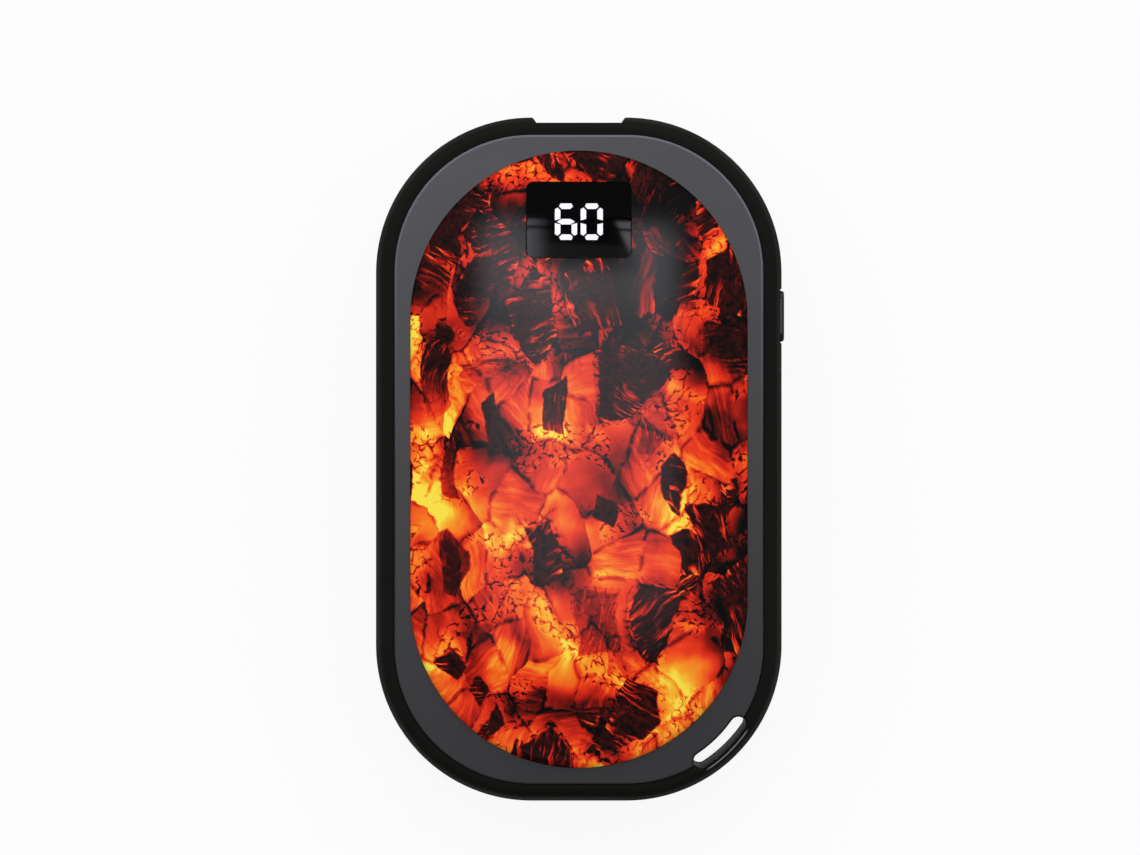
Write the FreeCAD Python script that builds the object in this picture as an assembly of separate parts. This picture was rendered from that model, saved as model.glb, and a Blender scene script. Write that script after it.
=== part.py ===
import FreeCAD, Part
import math
import os

# Rechargeable hand warmer. Millimetres: X runs across the body, Y towards the charging port, and Z from
# the rear rest face to the domed front. The origin is the centre of the rest face.

# Body
body_width = 60.0
body_length = 101.0
corner_radius = 23.0
rim_height = 19.5  # from the rear bezel's face to the front bezel's face
rear_stand = 1.2  # how far the rear panel stands out of the rear bezel
dome_rise = 3.0  # crown of the front panel above the front bezel

# Black rim and the ledges inside it
rim_width = 3.0
rim_drop = 0.35  # rim lips below the bezel faces
shoulder_radius = 1.5
shoulder_inset = 2.4
wall_step = 1.0  # seat for the bezels' skirts
flange_reach = 1.7  # shelf under the main board
flange_share = 0.6  # of the room between the rear ledge and the main board

# Bezels and panels
bezel_width = 2.4
bezel_edge_radius = 0.2
skirt_wall = 1.4
skirt_depth = 5.5
pocket_depth = 1.6
ledge_thickness = 1.6
ledge_width = 3.2
panel_thickness = 1.2
panel_land = 2.6
panel_edge_radius = 1.2
rear_edge_radius = 1.0
tape_thickness = 0.15
tape_width = 2.2

# Lanyard slot through the lower right corner
slot_inset = 3.06  # outline to the slot's centre line
slot_width = 2.4
slot_length = 9.95
slot_angle = -45.7
rim_slot_round = 0.45
bezel_slot_round = 0.25
slot_round_steps = 4
sleeve_wall = 0.6

# Case screws
boss_radius = 2.6
boss_inset = 3.3  # panel edge to the screw's axis
top_boss_angle = 38.0
bottom_boss_angle = 62.0
screw_radius = 0.95
screw_length = 10.0
screw_head_radius = 1.8
screw_head_height = 1.2
screw_slot_length = 2.2
screw_slot_width = 0.5
screw_slot_depth = 0.6

# Charging socket and its recess in the top end
recess_mouth = 13.8
recess_floor = 12.5
recess_depth = 1.17
usb_width = 8.94
usb_height = 3.26
usb_depth = 7.35
usb_wall = 0.3
usb_setback = 0.2  # socket's mouth behind the recess floor
tongue_width = 6.7
tongue_height = 0.7
tongue_depth = 4.45
tongue_base = 1.6
contact_count = 12
contact_pitch = 0.5
contact_width = 0.25
contact_length = 3.2
contact_height = 0.06

# Power button and the side switch behind it
button_from_top = 29.4
button_length = 7.5
button_height = 5.4
button_corner = 1.2
button_edge_radius = 0.35
button_proud = 0.31
button_lip = 0.8
button_flange = 0.8
button_wall = 2.3  # rim left in front of the button's flange
button_flat_mouth = 8.15
button_flat_floor = 7.85
button_flat_depth = 0.35
switch_length = 6.0
switch_depth = 3.6
switch_floor = 0.8
switch_wall = 0.4
switch_cover_thickness = 0.2
plunger_length = 2.8
plunger_height = 1.4
plunger_shoulder = 0.25
snap_disc_height = 0.4
snap_disc_thickness = 0.1

# Display
window_from_top = 15.53
window_width = 15.42
window_height = 11.2
window_radius = 1.05
lens_recess = 0.35
lens_back = 2.05  # dome surface to the lens's rear face
lens_flange = 0.5
digit_width = 3.25
digit_height = 5.33
digit_pitch = 3.76
digit_stroke = 0.81
digit_corner = 0.84
digit_gap = 0.2
digit_drop = 0.21  # digits below the window's centre
segment_depth = 0.6
module_margin = 0.5
module_height = 4.5
display_board_thickness = 0.8
display_board_margin = 3.2
spacer_length = 2.0
spacer_width = 16.0
pin_count = 6
pin_pitch = 2.54
pin_radius = 0.35
pin_tail = 0.6

# Main board and its screws
board_from_top = 36.3
board_thickness = 1.6
board_screw_radius = 0.75
board_screw_head_radius = 1.4
board_screw_head_height = 0.9
board_screw_inset = 8.3  # outline to the screw's axis
board_screw_rise = 2.2  # board's lower edge to the screw's axis
board_ear_radius = 2.4

# Parts on the main board: width, length and height, then their places. A share is of half the board.
control_chip_size = (5.0, 5.0, 0.85)
charge_chip_size = (4.0, 4.0, 0.8)
transistor_size = (3.0, 1.7, 1.0)
capacitor_size = (2.0, 1.25, 1.1)
inductor_size = (7.0, 7.0, 3.2)
inductor_corner = 1.2
charge_chip_share = 0.37
charge_chip_from_edge = 6.0
inductor_share = 0.37
part_row_rise = 7.8  # board's lower edge to the row of power parts
transistor_spacing = 3.2
capacitor_share = 0.64
capacitor_count = 4
capacitor_spacing = 2.2

# Heater sockets, battery socket, plug and leads
heater_socket_size = (8.0, 2.0, 2.2)
socket_floor = 0.8
rear_socket_share = 0.31
rear_socket_rise = 6.0
battery_socket_size = (7.8, 6.0, 4.6)
battery_socket_wall = 0.7
battery_socket_share = 0.56
battery_plug_length = 5.6
lead_radius = 0.6
lead_pitch = 2.0

# Battery pack
battery_side = 6.5  # outline to the pack's long sides
battery_bottom = 15.3  # outline to the pack's lower end
battery_headroom = 0.4
cell_edge_radius = 1.5
cell_pad_thickness = 0.2
terrace = 3.8  # room for the protection board above the cells
tab_width = 5.0
tab_share = 0.35
tab_thickness = 0.15
protection_share = 0.62
protection_thickness = 0.8
protection_chip_size = (3.2, 1.8, 0.9)
protection_chip_spacing = 4.4

# Heater films, their sensors and the foam behind them
film_thickness = 0.25
film_inset = 6.2
film_edge = 2.2  # film short of the lens flange
tail_width = 5.0
thermistor_radius = 1.2
thermistor_height = 1.0
thermistor_x = 6.0
thermistor_rise = 4.0
foam_inset = 3.6
foam_margin = 2.0

# Clearances
fit_gap = 0.1  # between fixed mouldings
glue_gap = 0.05
disc_gap = 0.02
sliding_gap = 0.15  # round the button, its plunger and the charging socket
hole_gap = 0.15  # round screws and pins
board_gap = 0.3

# Heights worked out from the sizes above
front_face = rear_stand + rim_height
middle = rear_stand + rim_height / 2
crown = front_face + dome_rise
front_pocket = front_face - pocket_depth
front_ledge = front_pocket - ledge_thickness
front_skirt_end = front_face - skirt_depth
rear_pocket = rear_stand + pocket_depth
rear_ledge = rear_pocket + ledge_thickness
screw_seat = rear_pocket + screw_head_height
board_top = middle - usb_height / 2
board_bottom = board_top - board_thickness
flange_thickness = flange_share * (board_bottom - rear_ledge)
flange_bottom = board_bottom - flange_thickness
battery_low = rear_ledge + fit_gap
battery_high = front_ledge - battery_headroom
cell_thickness = (battery_high - battery_low - cell_pad_thickness) / 2
upper_cell_low = battery_high - cell_thickness
pack_middle = (battery_low + battery_high) / 2
protection_low = pack_middle - protection_thickness / 2
protection_high = pack_middle + protection_thickness / 2
rear_film_low = panel_thickness + glue_gap
rear_film_high = rear_film_low + film_thickness
BELOW = -rear_stand
ABOVE = crown + rear_stand

# Insets from the outline
socket_inset = rim_width - fit_gap
skirt_inset = rim_width + skirt_wall
wall_inset = socket_inset + wall_step
flange_inset = wall_inset + flange_reach
board_inset = wall_inset + board_gap

# Places across and along the body
half_width = body_width / 2
half_length = body_length / 2
corner_x = half_width - corner_radius
corner_y = half_length - corner_radius
panel_radius = half_width - rim_width - bezel_width
panel_straight = half_length - rim_width - bezel_width - panel_radius
boss_reach = panel_radius - boss_inset
slot_radius = corner_radius - slot_inset
board_low = half_length - board_from_top
board_half_width = half_width - board_inset
charge_chip_x = charge_chip_share * board_half_width
inductor_x = inductor_share * board_half_width
capacitor_x = capacitor_share * board_half_width
rear_socket_x = rear_socket_share * board_half_width
battery_socket_x = battery_socket_share * board_half_width
tab_x = tab_share * board_half_width
protection_width = 2 * protection_share * board_half_width
board_screw_y = board_low + board_screw_rise
part_row_y = board_low + part_row_rise
charge_chip_y = half_length - board_inset - charge_chip_from_edge
usb_mouth = half_length - recess_depth - usb_setback
usb_back = usb_mouth - usb_depth
battery_half_width = half_width - battery_side
battery_low_y = battery_bottom - half_length
battery_high_y = board_low - board_gap
cell_end_y = battery_high_y - terrace
cell_length = cell_end_y - battery_low_y
cell_y = (cell_end_y + battery_low_y) / 2
terrace_y = (battery_high_y + cell_end_y) / 2
foam_low_y = battery_low_y + foam_margin
battery_socket_low = board_screw_y + board_screw_head_radius + board_gap
battery_socket_y = battery_socket_low + battery_socket_size[1] / 2
plug_front = battery_socket_low + battery_socket_size[1] - battery_socket_wall
plug_back = plug_front - battery_plug_length
thermistor_y = board_low + thermistor_rise
rear_socket_y = board_low + rear_socket_rise

# Button and switch, along X
button_y = half_length - button_from_top
button_face = half_width + button_proud
button_seat = half_width - button_wall - glue_gap
button_back = button_seat - button_flange
switch_front = board_half_width - board_gap
switch_inside = switch_front - switch_cover_thickness
switch_back = switch_inside - switch_depth
switch_room = switch_back + switch_floor
switch_half_height = middle - board_top
plunger_front = switch_inside - glue_gap
plunger_back = switch_room + snap_disc_height + disc_gap

# Dome of the front panel: an arc over the panel's spine that runs into the rounded edge
dome_edge = panel_radius - panel_edge_radius
dome_above_edge = dome_rise - panel_edge_radius
dome_radius = (dome_edge**2 + dome_rise**2 - panel_edge_radius**2) / (2 * dome_above_edge)
film_depth = panel_thickness + glue_gap
film_back = film_depth + film_thickness

# Display, along Y and Z
window_y = half_length - window_from_top
flange_half_x = window_width / 2 + lens_flange
flange_half_y = window_height / 2 + lens_flange
film_end = window_y - flange_half_y - film_edge
front_socket_y = film_end - film_thickness / 2
module_half_x = window_width / 2 - module_margin
module_half_y = window_height / 2 - module_margin
spacer_y = window_y - module_half_y - spacer_length / 2

UP = FreeCAD.Vector(0, 0, 1)
ORIGIN = FreeCAD.Vector(0, 0, 0)
QUARTERS = ((1, 1), (-1, 1), (-1, -1), (1, -1))
SIDES = (-1, 1)
SMALLEST_SIDE = 1e-5


def point(x, y, z=0.0):
    return FreeCAD.Vector(x, y, z)


def join(solids):
    """Fuse solids that meet and drop the seams inside shared faces."""
    return solids[0].multiFuse(solids[1:]).removeSplitter()


def block(x, y, low, size):
    """Box of a width, length and height, centred on (x, y) and standing on low."""
    width, length, height = size
    return Part.makeBox(width, length, height, point(x - width / 2, y - length / 2, low))


def span(low, high):
    """Box between two opposite corners."""
    size = high - low
    return Part.makeBox(size.x, size.y, size.z, low)


def rod(x, y, low, high, radius):
    return Part.makeCylinder(radius, high - low, point(x, y, low))


def rounded_wire(half_x, half_y, radius, centre):
    """Rounded rectangle: four corner arcs, with straight sides where there is room for them."""
    arcs = []
    for quarter, (side_x, side_y) in enumerate(QUARTERS):
        corner = centre + point(side_x * (half_x - radius), side_y * (half_y - radius))
        arcs.append(Part.makeCircle(radius, corner, UP, 90 * quarter, 90 * (quarter + 1)))
    edges = []
    for arc, following in zip(arcs, arcs[1:] + arcs[:1]):
        edges.append(arc)
        start = arc.valueAt(arc.LastParameter)
        end = following.valueAt(following.FirstParameter)
        if start.distanceToPoint(end) > SMALLEST_SIDE:
            edges.append(Part.makeLine(start, end))
    return Part.Wire(edges)


def rounded_prism(half_x, half_y, radius, low, high, x=0.0, y=0.0):
    """Upright prism of a rounded rectangle about (x, y)."""
    face = Part.Face(rounded_wire(half_x, half_y, radius, point(x, y, low)))
    return face.extrude(point(0, 0, high - low))


def outline_prism(inset, low, high):
    """Upright prism of the body's outline, drawn in by an inset."""
    return rounded_prism(half_width - inset, half_length - inset, corner_radius - inset, low, high)


def panel_prism(inset, low, high):
    """Upright prism of the panels' stadium outline, drawn in by an inset."""
    radius = panel_radius - inset
    return rounded_prism(radius, panel_straight + radius, radius, low, high)


def window_prism(margin, low, high):
    """Upright prism of the display window, grown by a margin."""
    half_x = window_width / 2 + margin
    half_y = window_height / 2 + margin
    return rounded_prism(half_x, half_y, window_radius + margin, low, high, 0, window_y)


def between(shape, low_y, high_y):
    """The stretch of a shape between two stations along the body."""
    return shape.common(span(point(-body_width, low_y, BELOW), point(body_width, high_y, ABOVE)))


def facing_side(shape, x, y, z):
    """Turn a shape that was drawn upright so that its top faces +X, and move it to a place."""
    shape.rotate(ORIGIN, point(0, 1, 0), 90)
    shape.translate(point(x, y, z))
    return shape


def facing_top(shape, x, y, z):
    """Turn a shape that was drawn upright so that its top faces +Y, and move it to a place."""
    shape.rotate(ORIGIN, point(1, 0, 0), -90)
    shape.translate(point(x, y, z))
    return shape


def fillet_level(shape, level, radius):
    """Round every edge that lies at one height."""

    def at_level(edge):
        return all(abs(vertex.Z - level) < SMALLEST_SIDE for vertex in edge.Vertexes)

    return shape.makeFillet(radius, [edge for edge in shape.Edges if at_level(edge)])


def section(corners, bends):
    """Closed face in XZ through corners (x, z); bends gives the middle of the arc after a corner."""
    points = [point(x, 0, z) for x, z in corners]
    edges = []
    for index, start in enumerate(points):
        end = points[(index + 1) % len(points)]
        if index in bends:
            x, z = bends[index]
            edges.append(Part.Arc(start, point(x, 0, z), end).toShape())
        else:
            edges.append(Part.makeLine(start, end))
    return Part.Face(Part.Wire(edges))


def polygon_prism(corners, low, height):
    """Upright prism through corners (x, y)."""
    points = [point(x, y, low) for x, y in corners]
    return Part.Face(Part.makePolygon(points + points[:1])).extrude(point(0, 0, height))


def outline_turn(face):
    """Carry a section, drawn in XZ about a corner's axis, round the body's outline."""
    solids = []
    for quarter, (side_x, side_y) in enumerate(QUARTERS):
        corner = point(side_x * corner_x, side_y * corner_y)
        next_x, next_y = QUARTERS[(quarter + 1) % len(QUARTERS)]
        start = face.copy()
        start.rotate(ORIGIN, UP, 90 * quarter)
        start.translate(corner)
        solids.append(start.revolve(corner, UP, 90))
        side = face.copy()
        side.rotate(ORIGIN, UP, 90 * (quarter + 1))
        side.translate(corner)
        solids.append(side.extrude(point(next_x * corner_x, next_y * corner_y) - corner))
    return join(solids)


def stadium_turn(face):
    """Carry a half section, drawn in XZ from the axis outwards, round the panels' stadium outline."""
    solids = []
    for turn in (0, 180):
        side = face.copy()
        side.translate(point(0, -panel_straight))
        end = face.copy()
        end.translate(point(0, panel_straight))
        straight = side.extrude(point(0, 2 * panel_straight))
        pair = [straight, end.revolve(point(0, panel_straight), UP, 180)]
        for solid in pair:
            solid.rotate(ORIGIN, UP, turn)
        solids += pair
    return join(solids)


def dome_height(distance, depth):
    """Height of the dome, lowered along its radius by a depth, at a distance from the panel's spine."""
    return crown - dome_radius + math.sqrt((dome_radius - depth) ** 2 - distance**2)


def dome_solid(depth, inset):
    """All from the front ledge up to the dome lowered by a depth, inside the panel's edge by an inset."""
    reach = panel_radius - inset
    corners = [(0, front_ledge), (reach, front_ledge)]
    corners += [(reach, dome_height(reach, depth)), (0, dome_height(0, depth))]
    return stadium_turn(section(corners, {2: (reach / 2, dome_height(reach / 2, depth))}))


def slot_wire(width, z):
    """Lanyard slot: a band along the corner's arc with round ends."""
    outer = slot_radius + width / 2
    inner = slot_radius - width / 2
    half_turn = math.degrees((slot_length - slot_width) / 2 / slot_radius)
    first = slot_angle - half_turn
    last = slot_angle + half_turn

    def at(radius, angle, beyond=0.0):
        turn = math.radians(angle)
        outwards = point(math.cos(turn), math.sin(turn))
        along = point(-math.sin(turn), math.cos(turn))
        return point(corner_x, -corner_y, z) + outwards * radius + along * beyond

    arcs = [
        Part.Arc(at(outer, first), at(outer, slot_angle), at(outer, last)),
        Part.Arc(at(outer, last), at(slot_radius, last, width / 2), at(inner, last)),
        Part.Arc(at(inner, last), at(inner, slot_angle), at(inner, first)),
        Part.Arc(at(inner, first), at(slot_radius, first, -width / 2), at(outer, first)),
    ]
    return Part.Wire([arc.toShape() for arc in arcs])


def slot_prism(margin, low, high):
    """Upright prism of the lanyard slot, widened by a margin on every side."""
    return Part.Face(slot_wire(slot_width + 2 * margin, low)).extrude(point(0, 0, high - low))


def slot_bore(drop, radius):
    """The way through the slot, with rounded edges where it leaves faces a drop inside the bezel faces."""
    bore = slot_prism(0, BELOW, ABOVE)
    for face, outwards in ((front_face - drop, 1), (rear_stand + drop, -1)):
        wires = []
        for step in range(slot_round_steps + 1):
            turn = math.pi / 2 * step / slot_round_steps
            level = face - outwards * radius * (1 - math.sin(turn))
            wires.append(slot_wire(slot_width + 2 * radius * (1 - math.cos(turn)), level))
        wires.append(slot_wire(slot_width + 2 * radius, face + outwards * radius))
        bore = bore.fuse(Part.makeLoft(wires, True, True))
    return bore


def sleeve_socket():
    """Room for the lanyard sleeve between the two bezels."""
    return slot_prism(sleeve_wall + glue_gap, rear_ledge, front_ledge)


def boss_places():
    """Axis (x, y) and outward direction in degrees of each case screw, the two upper ones first."""
    places = []
    for end, angle in ((1, top_boss_angle), (-1, bottom_boss_angle)):
        for side in SIDES:
            across = side * math.cos(math.radians(angle))
            along = end * math.sin(math.radians(angle))
            direction = math.degrees(math.atan2(along, across))
            places.append((boss_reach * across, end * panel_straight + boss_reach * along, direction))
    return places


def board_screw_places():
    """Axis (x, y) and outward direction in degrees of each board screw."""
    x = half_width - board_screw_inset
    return [(-x, board_screw_y, 180), (x, board_screw_y, 0)]


def pin_places():
    """Axis (x, y) of each pin between the two boards."""
    return [((index - (pin_count - 1) / 2) * pin_pitch, spacer_y) for index in range(pin_count)]


def ear(place, radius):
    """Shelf from the rim's wall in to a screw."""
    x, y, direction = place
    arm = Part.makeBox(corner_radius, 2 * radius, flange_thickness, point(0, -radius, flange_bottom))
    arm.rotate(ORIGIN, UP, direction)
    arm.translate(point(x, y))
    shelf = arm.fuse(rod(x, y, flange_bottom, board_bottom, radius))
    return shelf.common(outline_prism(rim_width, flange_bottom, board_bottom))


def rim_section():
    """Section of the rim about a corner's axis: a barrelled side, round shoulders and flat lips."""
    rise = rim_height / 2 - rim_drop - shoulder_radius
    draw = shoulder_inset - shoulder_radius
    barrel = (shoulder_inset**2 + rise**2 - shoulder_radius**2) / (2 * draw)
    slope = math.atan2(rise, barrel - shoulder_inset)
    inside = corner_radius - flange_inset

    def on_shoulder(angle, side):
        x = corner_radius - shoulder_inset + shoulder_radius * math.cos(angle)
        return (x, middle + side * (rise + shoulder_radius * math.sin(angle)))

    halfway = (slope + math.pi / 2) / 2
    lip_low = on_shoulder(math.pi / 2, -1)
    lip_high = on_shoulder(math.pi / 2, 1)
    sides = [on_shoulder(slope, -1), on_shoulder(slope, 1)]
    corners = [(inside, lip_low[1]), lip_low] + sides + [lip_high, (inside, lip_high[1])]
    bends = {1: on_shoulder(halfway, -1), 2: (corner_radius, middle), 3: on_shoulder(halfway, 1)}
    return section(corners, bends)


def flat_cut(reach, depth, mouth, floor):
    """Flat with sloping ends, through the rim's whole height, on the side that +Y meets at a reach."""
    low = reach - depth
    high = reach + depth
    half_floor = floor / 2
    half_high = mouth - half_floor
    corners = [(-half_floor, low), (half_floor, low), (half_high, high), (-half_high, high)]
    return polygon_prism(corners, BELOW, ABOVE - BELOW)


def button_flat():
    """Flat round the button on the rim's right side."""
    cut = flat_cut(half_width, button_flat_depth, button_flat_mouth, button_flat_floor)
    cut.rotate(ORIGIN, UP, -90)
    cut.translate(point(0, button_y))
    return cut


def usb_bar(margin, start, end):
    """Round-ended bar of the charging socket's section, grown by a margin, between stations along Y."""
    half_high = usb_height / 2 + margin
    bar = rounded_prism(usb_width / 2 + margin, half_high, half_high, 0, end - start)
    return facing_top(bar, 0, start, middle)


def button_bar(margin, start, end, edge_radius=0.0):
    """Rounded bar of the button's section, grown by a margin, between stations along X."""
    half_high = button_height / 2 + margin
    half_long = button_length / 2 + margin
    bar = rounded_prism(half_high, half_long, button_corner + margin, 0, end - start)
    if edge_radius:
        bar = fillet_level(bar, end - start, edge_radius)
    return facing_side(bar, start, button_y, middle)


def switch_bar(half_y, half_z, start, end):
    """Box about the switch's axis between two stations along X."""
    low = point(start, button_y - half_y, middle - half_z)
    return span(low, point(end, button_y + half_y, middle + half_z))


def mid_frame():
    """Rim with a seat for each bezel, a shelf for the main board, ears for screws and its openings."""
    frame = outline_turn(rim_section())
    frame = frame.cut(outline_prism(socket_inset, front_skirt_end, ABOVE))
    frame = frame.cut(outline_prism(socket_inset, BELOW, flange_bottom))
    frame = frame.cut(outline_prism(wall_inset, board_bottom, front_skirt_end))
    pack_side = outline_prism(wall_inset, flange_bottom, board_bottom)
    frame = frame.cut(between(pack_side, -body_length, battery_high_y))
    ears = [ear(place, boss_radius) for place in boss_places()]
    ears += [ear(place, board_ear_radius) for place in board_screw_places()]
    frame = join([frame] + ears)
    cuts = [rod(x, y, BELOW, ABOVE, screw_radius + hole_gap) for x, y, direction in boss_places()]
    cuts += [rod(x, y, BELOW, ABOVE, board_screw_radius) for x, y, direction in board_screw_places()]
    cuts += [
        flat_cut(half_length, recess_depth, recess_mouth, recess_floor),
        button_flat(),
        usb_bar(sliding_gap, usb_back, half_length),
        button_bar(sliding_gap, button_back, button_face),
        button_bar(button_lip + board_gap, half_width - board_inset, half_width - button_wall),
        sleeve_socket(),
        slot_bore(rim_drop, rim_slot_round),
    ]
    for cut in cuts:
        frame = frame.cut(cut)
    return frame


def bezel(face, pocket, ledge, skirt_end, boss_end):
    """Grey ring with a panel pocket in its face, a skirt in the rim and a boss for each case screw."""

    def ordered(a, b):
        return min(a, b), max(a, b)

    ring = fillet_level(outline_prism(rim_width, *ordered(face, ledge)), face, bezel_edge_radius)
    reach = ordered(ledge, skirt_end)
    skirt = outline_prism(rim_width, *reach).cut(outline_prism(skirt_inset, *reach))
    ring = join([ring, skirt])
    ring = ring.cut(panel_prism(-fit_gap, *ordered(pocket, 2 * face - pocket)))
    ring = ring.cut(panel_prism(ledge_width, BELOW, ABOVE))
    bosses = [rod(x, y, *ordered(pocket, boss_end), boss_radius) for x, y, direction in boss_places()]
    ring = join([ring] + bosses)
    return ring.cut(sleeve_socket()).cut(slot_bore(0, bezel_slot_round))


def front_bezel():
    ring = bezel(front_face, front_pocket, front_ledge, front_skirt_end, board_bottom)
    pilot_end = screw_seat + screw_length + hole_gap
    for x, y, direction in boss_places():
        ring = ring.cut(rod(x, y, board_bottom, pilot_end, screw_radius))
    return ring


def rear_cover():
    ring = bezel(rear_stand, rear_pocket, rear_ledge, flange_bottom, flange_bottom)
    for x, y, direction in boss_places():
        ring = ring.cut(rod(x, y, rear_pocket, screw_seat, screw_head_radius + hole_gap))
        ring = ring.cut(rod(x, y, screw_seat, flange_bottom, screw_radius + hole_gap))
    return ring


def case_screws():
    """Cross-head screws that draw the rear cover, the mid frame and the front bezel together."""
    slot = (screw_slot_length, screw_slot_width, screw_slot_depth)
    cross_slot = (screw_slot_width, screw_slot_length, screw_slot_depth)
    screws = []
    for x, y, direction in boss_places():
        head = rod(x, y, rear_pocket, screw_seat, screw_head_radius)
        head = head.cut(block(x, y, rear_pocket, slot)).cut(block(x, y, rear_pocket, cross_slot))
        screws.append(join([head, rod(x, y, screw_seat, screw_seat + screw_length, screw_radius)]))
    return Part.makeCompound(screws)


def front_panel():
    """Domed panel: a shell under the dome that stands on a solid land round its edge."""
    base = front_pocket + tape_thickness
    slope = math.atan2(dome_radius - dome_rise, dome_edge)

    def on_edge(angle):
        x = dome_edge + panel_edge_radius * math.cos(angle)
        return (x, front_face + panel_edge_radius * math.sin(angle))

    tangent = on_edge(slope)
    corners = [(0, base), (panel_radius, base), on_edge(0), tangent, (0, crown)]
    on_dome = (tangent[0] / 2, dome_height(tangent[0] / 2, 0))
    shell = stadium_turn(section(corners, {2: on_edge(slope / 2), 3: on_dome}))
    shell = shell.cut(dome_solid(panel_thickness, panel_land))
    return shell.cut(window_prism(0, BELOW, ABOVE))


def rear_panel():
    """Flat rest plate with a rounded edge and a raised land that is taped into the rear cover."""
    plate = fillet_level(panel_prism(0, 0, rear_pocket - tape_thickness), 0, rear_edge_radius)
    return plate.cut(panel_prism(panel_land, panel_thickness, ABOVE))


def panel_tape(low):
    """Adhesive ring between a panel's land and its pocket."""
    high = low + tape_thickness
    return panel_prism(fit_gap, low, high).cut(panel_prism(fit_gap + tape_width, low, high))


def lanyard_sleeve():
    return slot_prism(sleeve_wall, rear_ledge, front_ledge).cut(slot_prism(0, rear_ledge, front_ledge))


def display_lens():
    """Smoked window that follows the dome, a little below it, with a flange glued behind the panel."""
    body = window_prism(-fit_gap, front_ledge, ABOVE).common(dome_solid(lens_recess, 0))
    flange = window_prism(lens_flange, front_ledge, ABOVE).common(dome_solid(film_depth, 0))
    return join([body, flange]).cut(dome_solid(lens_back, 0))


lens_reach = math.hypot(flange_half_x, window_y + flange_half_y - panel_straight)
module_top = dome_height(lens_reach, lens_back) - fit_gap
display_board_top = module_top - module_height
display_board_bottom = display_board_top - display_board_thickness
digit_y = window_y - digit_drop


def digit_bars(x):
    """Bars a to g of one digit about (x, digit_y): outlines in XY with mitred ends and cut corners."""
    w, h = digit_width / 2, digit_height / 2
    s, c, g = digit_stroke, digit_corner, digit_gap
    top = [(c - w, h), (w - c, h), (w - c / 2 - g, h - c / 2), (w - s - g, h - s)]
    top += [(s + g - w, h - s), (c / 2 + g - w, h - c / 2)]
    left = [(-w, h - c), (c / 2 - w, h - c / 2 - g), (s - w, h - s - g), (s - w, s / 2), (-w, g)]
    tip = w - s / 4 - g / 2
    centre = [(-tip, 0), (s + g - w, s / 2), (w - s - g, s / 2)]
    centre += [(tip, 0), (w - s - g, -s / 2), (s + g - w, -s / 2)]

    def placed(outline, across, along):
        return [(x + across * u, digit_y + along * v) for u, v in outline]

    return {
        "a": placed(top, 1, 1),
        "b": placed(left, -1, 1),
        "c": placed(left, -1, -1),
        "d": placed(top, 1, -1),
        "e": placed(left, 1, -1),
        "f": placed(left, 1, 1),
        "g": placed(centre, 1, 1),
    }


def segments(lit):
    """Bars of the two digits that are lit, or those that are not: inlays in the module's face."""
    solids = []
    for side, letters in ((-1, "acdefg"), (1, "abcdef")):
        for name, outline in digit_bars(side * digit_pitch / 2).items():
            if (name in letters) == lit:
                solids.append(polygon_prism(outline, module_top - segment_depth, segment_depth))
    return Part.makeCompound(solids)


def display_module():
    body = block(0, window_y, display_board_top, (2 * module_half_x, 2 * module_half_y, module_height))
    for inlay in segments(True).Solids + segments(False).Solids:
        body = body.cut(inlay)
    return body


def drill_pins(solid):
    for x, y in pin_places():
        solid = solid.cut(rod(x, y, BELOW, ABOVE, pin_radius + hole_gap))
    return solid


def display_board():
    low = spacer_y - spacer_length / 2
    high = window_y + module_half_y
    size = (2 * (module_half_x + display_board_margin), high - low, display_board_thickness)
    return drill_pins(block(0, (low + high) / 2, display_board_bottom, size))


def display_spacer():
    size = (spacer_width, spacer_length, display_board_bottom - board_top)
    return drill_pins(block(0, spacer_y, board_top, size))


def display_pins():
    low, high = board_bottom - pin_tail, display_board_top + pin_tail
    return Part.makeCompound([rod(x, y, low, high, pin_radius) for x, y in pin_places()])


def main_board():
    board = between(outline_prism(board_inset, board_bottom, board_top), board_low, half_length)
    for x, y, direction in boss_places()[:2]:
        board = board.cut(rod(x, y, board_bottom, board_top, boss_radius + board_gap))
    for x, y, direction in board_screw_places():
        board = board.cut(rod(x, y, board_bottom, board_top, board_screw_radius + hole_gap))
    return drill_pins(board)


def board_screws():
    screws = []
    for x, y, direction in board_screw_places():
        head = rod(x, y, board_top, board_top + board_screw_head_height, board_screw_head_radius)
        screws.append(join([head, rod(x, y, flange_bottom, board_top, board_screw_radius)]))
    return Part.makeCompound(screws)


def usb_shell():
    return usb_bar(0, usb_back, usb_mouth).cut(usb_bar(-usb_wall, usb_back, usb_mouth))


def usb_tongue():
    """Plastic core of the charging socket: a base that fills the shell's rear and a tongue."""
    base = usb_bar(-usb_wall, usb_back, usb_back + tongue_base)
    tongue = block(0, 0, 0, (tongue_width, tongue_height, tongue_base + tongue_depth))
    return join([base, facing_top(tongue, 0, usb_back, middle)])


def usb_contacts():
    y = usb_back + tongue_base + contact_length / 2
    solids = []
    for index in range(contact_count):
        x = (index - (contact_count - 1) / 2) * contact_pitch
        for low in (middle + tongue_height / 2, middle - tongue_height / 2 - contact_height):
            solids.append(block(x, y, low, (contact_width, contact_length, contact_height)))
    return Part.makeCompound(solids)


def power_button():
    """Key cap that stands out through the rim, with a flange that keeps it in."""
    cap = button_bar(0, button_seat, button_face, button_edge_radius)
    return join([cap, button_bar(button_lip, button_back, button_seat)])


def switch_base():
    body = switch_bar(switch_length / 2, switch_half_height, switch_back, switch_inside)
    half_y = switch_length / 2 - 2 * switch_wall
    return body.cut(switch_bar(half_y, switch_half_height - switch_wall, switch_room, switch_inside))


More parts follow.
